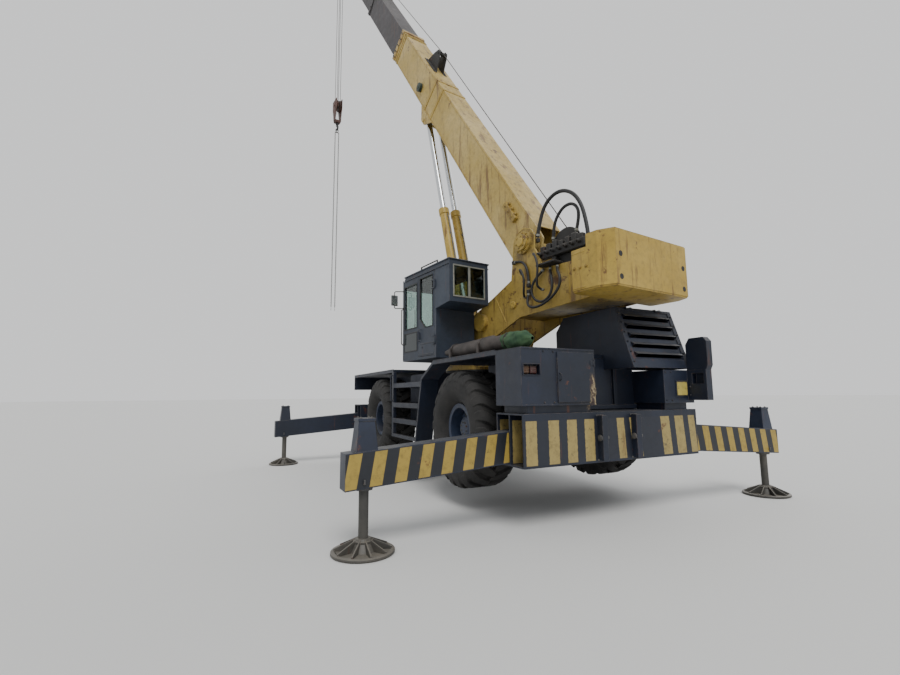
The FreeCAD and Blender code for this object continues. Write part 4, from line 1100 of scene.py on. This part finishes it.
def tail_lamps():
    """Two lamps in a frame at the rear left, and four at the front."""
    for name, x, material in (("lamp_stop", 1.305, "lamp_red"), ("lamp_turn", 1.417, "lamp_amber")):
        draft = Draft(name, CARRIER)
        draft.box(about(x, 0.05), (3.539, 3.57), (1.875, 1.975), 0.012)
        for i in range(4):
            z = 1.888 + i * 0.022
            draft.box(about(x, 0.038), (3.568, 3.575), (z, z + 0.009), 0.002)
        riding(draft, material)
    draft = Draft("lamp_frame", CARRIER)
    draft.tube([(x, 3.602, z) for x, z in ((1.236, 1.856), (1.484, 1.856), (1.484, 1.994), (1.236, 1.994),
                                           (1.236, 1.862))], 0.008, 6)
    riding(draft, "carrier")
    for (x, r), side in product(((1.33, 0.075), (1.13, 0.05)), SIDES):
        draft = Draft("head_lamp", CARRIER)
        draft.turned([(-0.01, 0), (-0.01, r), (0.03, r), (0.036, r * 0.93), (0.03, r * 0.86),
                      (0.044, r * 0.5), (0.048, 0)], (side * x, -4.169, 1.98), (0, -1, 0), 24)
        riding(draft, "lamp_clear")


def blank_plate():
    """Board on the right locker with a plain plate."""
    draft = Draft("plate_board", CARRIER)
    draft.box((-1.37, -1.13), (3.599, 3.6135), (1.58, 1.81), 0.003)
    riding(draft, "carrier")
    draft = Draft("blank_plate", CARRIER)
    x0, x1, z0, z1 = -1.355, -1.145, 1.6, 1.79
    rim = (3.616, 3.618)
    draft.box((x0, x1), (3.6135, 3.6165), (z0, z1), 0.002)
    for x in ((x0, x0 + 0.008), (x1 - 0.008, x1)):
        draft.box(x, rim, (z0, z1), 0.001)
    for z in ((z0, z0 + 0.008), (z1 - 0.008, z1)):
        draft.box((x0, x1), rim, z, 0.001)
    draft.bolts([(x, 3.6165, (z0 + z1) / 2) for x in (x0 + 0.03, x1 - 0.03)], Y, 0.012, 0.006)
    riding(draft, "plate")


def silencer_end():
    """Tail of the silencer, with its straps and a foot."""
    draft = Draft("silencer_tail", CARRIER)
    centre = (SILENCER_X, 0, SILENCER_Z)
    draft.turned([(2.5, 0.114), (2.5, 0.121), (2.66, 0.121), (2.7, 0.1), (3.2, 0.1), (3.2, 0.094),
                  (2.66, 0.094), (2.66, 0.1), (2.5, 0.114)], centre, Y, 32)
    for y in (1.52, 2.42):
        a, b = about(y, 0.022)
        draft.turned([(a, 0.112), (a, 0.12), (b, 0.12), (b, 0.112)], centre, Y, 32)
        for side in SIDES:
            draft.box(about(SILENCER_X + side * 0.126, 0.014), (a, b), (2.2, 2.36), 0.003)
            draft.bolt((SILENCER_X + side * 0.126, y, 2.36), Z, 0.02, 0.012)
    draft.box((1.26, 1.34), (3.05, 3.09), (2.189, 2.25), 0.003)
    riding(draft, "exhaust", "carrier", "exhaust")


WRAP_START, WRAP_LENGTH, WRAP_RADIUS = 3.0, 0.56, 0.116
WRAP_RINGS = 26


def silencer_wrap():
    """Cloth tied over the silencer's end: one thin wrinkled skin, gathered behind its tie."""
    draft = Draft("silencer_wrap", CARRIER)
    rows = []
    for i in range(WRAP_RINGS + 1):
        t = i / WRAP_RINGS
        gather = 1.0 - 0.1 * math.exp(-((t - 0.12) / 0.05) ** 2)
        if t > 0.62:
            gather *= 1.0 - 0.8 * ((t - 0.62) / 0.38) ** 1.6
        row = []
        for a in turns(40):
            fold = 0.05 * math.sin(5 * a + 7 * t) + 0.03 * math.sin(9 * a - 13 * t + 1.0)
            fold += 0.035 * math.sin(3 * a + 21 * t)
            r = WRAP_RADIUS * gather * (1.0 + fold)
            row.append((SILENCER_X + r * math.cos(a), WRAP_START + t * WRAP_LENGTH,
                        SILENCER_Z + r * math.sin(a) - 0.02 * t))
        rows.append(draft.corners(row))
    draft.skin(rows)
    piece = draft.object("cover", 80)
    skin = piece.modifiers.new("skin", "SOLIDIFY")
    skin.thickness = 0.004
    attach(piece, "carrier")
    draft = Draft("wrap_tie", CARRIER)
    draft.tube([(SILENCER_X + 0.114 * math.cos(a), WRAP_START + 0.067,
                 SILENCER_Z + 0.114 * math.sin(a) - 0.002) for a in turns(28) + [2 * math.pi]], 0.006, 6)
    riding(draft, "rope", "carrier", "rope")


def rear_panel():
    """Closing plate between the lockers, below the hood, with two ribs and a crossbar."""
    draft = Draft("rear_panel", CARRIER)
    draft.box((-0.9, 0.37), (3.032, 3.05), (1.4, 2.14), 0.003)
    for x in (-0.5, -0.05):
        draft.box(about(x, 0.03), (3.049, 3.09), (1.41, 2.1))
    draft.box((-0.9, 0.37), (3.049, 3.1), (1.41, 1.47))
    riding(draft, "carrier")


def bracket(draft, x, far, y, z, lean, radius):
    """Bar that stands off a wall across x between two heights."""
    low, high = z
    draft.tube([(x, y, low), (far, y, low + lean), (far, y, high - lean), (x, y, high)], radius)


def deck_edges():
    """Rolled edges of the decks, with rails and grips at the steps."""
    draft = Draft("deck_edges", CARRIER)
    for side in SIDES:
        x = side * 1.506
        draft.tube([(x, -4.165, 2.162), (x, -1.005, 2.162)], 0.008, 6)
        draft.tube([(x, 1.03, 2.202), (x, 3.02, 2.202)], 0.008, 6)
        bracket(draft, side * 1.475, side * 1.55, -1.04, (1.5, 2.06), 0.03, 0.012)
        for z, y in product((1.17, 1.48, 1.87), (-0.9, -0.7, -0.5, -0.3, -0.1)):
            draft.box((side * 1.27, side * 1.49), about(y, 0.008), (z - 0.001, z + 0.006), 0.001)
    riding(draft, "carrier")


# Cab

def seal(draft, wall, a, b, width=0.022):
    """Strip round an opening; the wall is given by its axis, its face and how proud the strip is."""
    axis, face, proud = wall
    inner = (b[0] + width, b[1] - width)
    for across, up in ((a, (b[0], inner[0])), (a, (inner[1], b[1])),
                       ((a[0], a[0] + width), inner), ((a[1] - width, a[1]), inner)):
        spans = [(face, face + proud), across] if axis == "x" else [across, (face, face + proud)]
        draft.box(*spans, up, 0.003)


def cab_fittings():
    """Seals, frames, lower pane, wiper, rails, roof, mirror and the door's fittings."""
    side = CAB_SIDE
    draft = Draft("window_seals", UPPER)
    for wall, a, b in ((("x", side, 0.008), (-0.545, -0.025), (2.885, 3.755)),
                       (("x", side, 0.008), (-0.545, -0.025), (2.45, 2.82)),
                       (("y", -0.5995, -0.008), (0.675, 1.395), (2.545, 3.735)),
                       (("x", 0.6205, -0.008), (-0.525, 0.575), (2.935, 3.815))):
        seal(draft, wall, a, b)
    slewing(draft, "hose", "cab_blue")
    draft = Draft("rear_pane_frames", UPPER)
    for a in ((0.695, 1.037), (1.033, 1.375)):
        seal(draft, ("y", 1.0895, 0.01), a, (3.295, 3.865), 0.026)
    slewing(draft, "fitting", "cab_blue")
    draft = Draft("lower_pane", UPPER)
    draft.box((side, side + 0.004), (-0.525, -0.045), (2.47, 2.8), 0.001)
    slewing(draft, "dark_glass", "cab_glass")
    draft = Draft("wiper", UPPER)
    draft.solid([(0, 0.024), (0.02, 0.024), (0.03, 0.012)], (1.0, -0.6, 2.5), (0, -1, 0))
    draft.tube([(1.0, -0.622, 2.5), (1.12, -0.63, 2.85), (1.19, -0.628, 3.05)], 0.007)
    draft.box((1.16, 1.175), (-0.628, -0.612), (2.75, 3.35), 0.003)
    bracket(draft, 1.46, 1.5, -0.57, (2.6, 3.33), 0.03, 0.011)
    draft.tube([(1.2, y, z) for y, z in ((-0.3, 3.945), (-0.3, 4.15), (0.3, 4.15), (0.3, 3.945))], 0.012)
    slewing(draft, "steel", "cab_blue")
    draft = Draft("cab_roof", UPPER)
    draft.box((0.6, 1.47), (-0.53, 1.11), (3.94, 3.965), 0.006)
    for x in (1.458, 0.612):
        draft.tube([(x, -0.5, 3.87), (x, 1.09, 3.87)], 0.01, 6)
    draft.box((1.446, 1.456), (-0.6, -0.57), (2.3, 3.9), 0.003)
    slewing(draft, "cab", "cab_blue")
    draft = Draft("mirror", UPPER)
    draft.box((1.555, 1.695), (-0.655, -0.62), (3.39, 3.6), 0.012)
    for arm, bend, end in ((3.68, 3.66, 3.6), (3.34, 3.35, 3.39)):
        draft.tube([(1.45, -0.55, arm), (1.6, -0.6375, arm), (1.625, -0.6375, bend),
                    (1.625, -0.6375, end)], 0.009)
    slewing(draft, "cast", "cab_blue")
    draft = Draft("mirror_face", UPPER)
    draft.box((1.563, 1.687), (-0.621, -0.618), (3.4, 3.59), 0.001)
    slewing(draft, "chrome", "cab_blue")
    draft = Draft("door_seal", UPPER)
    draft.tube([(1.4505, y, z) for y, z in ((0.086, 3.02), (0.266, 2.86), (0.544, 2.86), (0.544, 3.794),
                                            (0.086, 3.794), (0.086, 3.03))], 0.009, 6)
    riding(draft, "hose", "cab_door", "cab_blue")
    draft = Draft("door_lock", UPPER)
    bracket(draft, 1.45, 1.5, 0.1, (2.6, 2.84), 0.02, 0.008)
    draft.turned([(0, 0), (0, 0.02), (0.008, 0.018), (0.01, 0)], (1.45, 0.15, 2.5), X, 14)
    for z in ((2.36, 2.375), (2.555, 2.57)):
        draft.box((side, side + 0.0065), (0.06, 0.57), z, 0.002)
    riding(draft, "cab", "cab_door", "cab_blue")


# Ropes, chain and pipes

def rope_piece(name, start, end, steps, body_a, body_b):
    """Straight rope between two points in the part's frame; the two bodies are not used."""
    points = [start.lerp(end, i / steps) for i in range(steps + 1)]
    draft = Draft(name, Matrix.Identity(4))
    draft.tube(points, ROPE_R)
    piece = draft.object("rope")
    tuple(points[0])
    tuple(points[-1])
    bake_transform(piece)


def hoist_rope():
    """Rope from the drum to the guide, along the boom's sections and over its head."""
    s, w, r = GUIDE_ROLLER
    first = BOOM @ Vector((ROPE_X, -s, w + r + ROPE_R))
    last = BOOM @ Vector((ROPE_X, -TOP_SHEAVE[0], TOP_SHEAVE[1] + ROPE_REACH))
    leave = UPPER @ Vector((ROPE_X, WINCH_Y - 0.08, WINCH_Z + 0.195))
    rope_piece("rope_to_boom", leave, first, 24, "superstructure", "boom_base")
    body, start = "boom_base", first
    for outer, along in zip(("boom_2", "boom_3", "boom_4"), SECTION_ENDS):
        end = first.lerp(last, (along - s) / (TOP_SHEAVE[0] - s))
        rope_piece("rope_over_" + outer, start, end, 16, body, outer)
        body, start = outer, end
    draft = Draft("rope_at_head", BOOM)
    for x in (-ROPE_X, ROPE_X):
        points = []
        for (along, above), begin, stop in ((TOP_SHEAVE, 90, 0), (HEAD_SHEAVE, 0, -55)):
            for i in range(9):
                angle = math.radians(begin + (stop - begin) * i / 8)
                points.append((x, -(along + ROPE_REACH * math.cos(angle)),
                               above + ROPE_REACH * math.sin(angle)))
        draft.tube(points, ROPE_R)
    riding(draft, "rope", "boom_4", "rope")


def hanging(node):
    """A hanging node's middle across y in the slewed frame, and its bottom and top."""
    low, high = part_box(node)
    return (UPPER.inverted() @ ((Vector(low) + Vector(high)) / 2)).y, low[2], high[2]


BLOCK_BOLTS = ((0.14, 0.06), (0.16, 0.42), (0.05, 0.8))


def hook_block():
    """Long block with two cheek plates, its sheaves, cross head and hook with a latch."""
    y, low, high = hanging("hook_block")
    top = high + 0.46
    draft = Draft("block_cheeks", UPPER)
    edge = ((0.2, 0.0), (0.225, -0.06), (0.225, -0.34), (0.15, -0.6), (0.1, -0.84), (0.08, -0.9))
    outline = [(y - 0.2, top)] + [(y + a, top + b) for a, b in edge]
    outline += [(y - a, top + b) for a, b in edge[:0:-1]]
    for side in SIDES:
        draft.cheek(outline, side * 0.1, side * 0.12)
        draft.box((side * 0.12, side * 0.135), about(y, 0.07), (top - 0.86, top - 0.1), 0.003)
        draft.bolts([(side * 0.119, place, top - down) for off, down in BLOCK_BOLTS
                     for place in about(y, off)], (side, 0, 0), 0.03, 0.014)
    for x in (-0.06, 0.06):
        draft.solid([(-0.03, 0.215), (-0.02, 0.215), (-0.008, 0.185), (0.008, 0.185), (0.02, 0.215),
                     (0.03, 0.215)], (x, y, top - 0.22), X, 36)
    draft.solid([(-0.15, 0.05), (-0.14, 0.055), (0.14, 0.055), (0.15, 0.05)], (0, y, top - 0.22), X, 20)
    draft.box((-0.11, 0.11), about(y, 0.09), (top - 0.94, top - 0.83), 0.01)
    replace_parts(riding(draft, "block", "hook", "steel_dark"), "hook_block")
    draft = Draft("hook", UPPER)
    neck, bend = top - 0.93, low + 0.117
    draft.solid([(0, 0.045), (0.03, 0.06), (0.06, 0.06), (0.09, 0.042), (0.15, 0.04)],
                (0, y, neck), (0, 0, -1), 20)
    points, radii = [(0, y, neck - 0.14)], [0.04]
    for i in range(15):
        angle = math.radians(112 - 292 * i / 14)
        points.append((0, y + 0.085 * math.cos(angle), bend + 0.085 * math.sin(angle)))
        radii.append(0.032 - 0.012 * max(0, i - 9) / 5)
    draft.taper(points, radii, 12)
    draft.tube([(0, y + 0.05, bend + 0.12), (0, y - 0.02, bend + 0.05),
                (0, y - 0.075, bend + 0.015)], 0.006, 6)
    riding(draft, "cast", "hook", "steel_dark")


LINK_WIRE, LINK_PITCH = 0.015, 0.048


def chain_links(draft, x, y, top, bottom):
    """Row of oval links, every second one turned by a quarter."""
    up = Vector(Z)
    for i in range(int((top - bottom) / LINK_PITCH)):
        middle = Vector((x, y, top - (i + 0.5) * LINK_PITCH))
        wide = Vector(X if i % 2 else Y)
        rings = []
        for angle in turns(10):
            centre = (middle + wide * (LINK_WIRE * 1.15 * math.cos(angle))
                      + up * ((LINK_PITCH / 2 + LINK_WIRE * 0.5) * math.sin(angle)))
            out = (centre - middle).normalized()
            rings.append(draft.circle(centre, out, wide.cross(up), LINK_WIRE / 2, 5))
        draft.skin(rings + rings[:1])


def chain_sling():
    """Two chain legs with a short hook end, hanging from the ring in the hook."""
    y, low, high = hanging("chain_sling")
    draft = Draft("sling_chains", UPPER)
    for x in (-0.07, 0.07):
        chain_links(draft, x, y, high - 0.17, low + 0.1)
        draft.tube([(x, y, low + 0.1), (x, y, low + 0.055), (x + 0.008, y, low + 0.02),
                    (x, y, low + 0.008)], 0.007)
    draft.box((-0.085, 0.085), about(y, 0.013), (high - 0.172, high - 0.142), 0.005)
    draft.tube([(0.06 * math.cos(a), y, high - 0.07 + 0.06 * math.sin(a))
                for a in turns(28) + [2 * math.pi]], 0.0098)
    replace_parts(riding(draft, "chain", "hook", "chain"), "chain_sling")


def lift_pipes():
    """Feed pipe clipped along each barrel."""
    run = (LIFT_HEAD - LIFT_FOOT).normalized()
    back = Vector((0.0, run.z, -run.y))
    draft = Draft("lift_pipes", UPPER)
    for side in SIDES:
        foot = LIFT_FOOT + Vector((side * 0.16, 0, 0))
        draft.tube([foot + run * along + back * off for along, off in (
            (0.2, 0.104), (0.26, 0.128), (3.1, 0.128), (3.2, 0.112))], 0.011)
        for along in (0.9, 1.8, 2.7):
            draft.turned([(-0.02, 0.0), (-0.02, 0.02), (0.02, 0.02), (0.02, 0.0)],
                         foot + run * along + back * 0.116, run, 8)
    riding(draft, "steel", "lift_barrels", "boom_yellow")


make_camera()
hoses = make_hoses()
make_light()
make_floor()
make_materials()
for hose in hoses:
    hose.data.materials.append(MATERIALS["hose"])
dress_nodes()
for make in (tyres, wheel_nuts, jack_feet, pin_bolts, frame_stiffeners, counterweight, valve_bank,
             drum_rope, collar_bolts, boom_bands, boom_reel, rope_guide, hood_fittings,
             locker_fittings, tow_pins, tail_lamps, blank_plate, silencer_end, silencer_wrap,
             rear_panel, deck_edges, cab_fittings, hoist_rope, hook_block, chain_sling, lift_pipes):
    make()
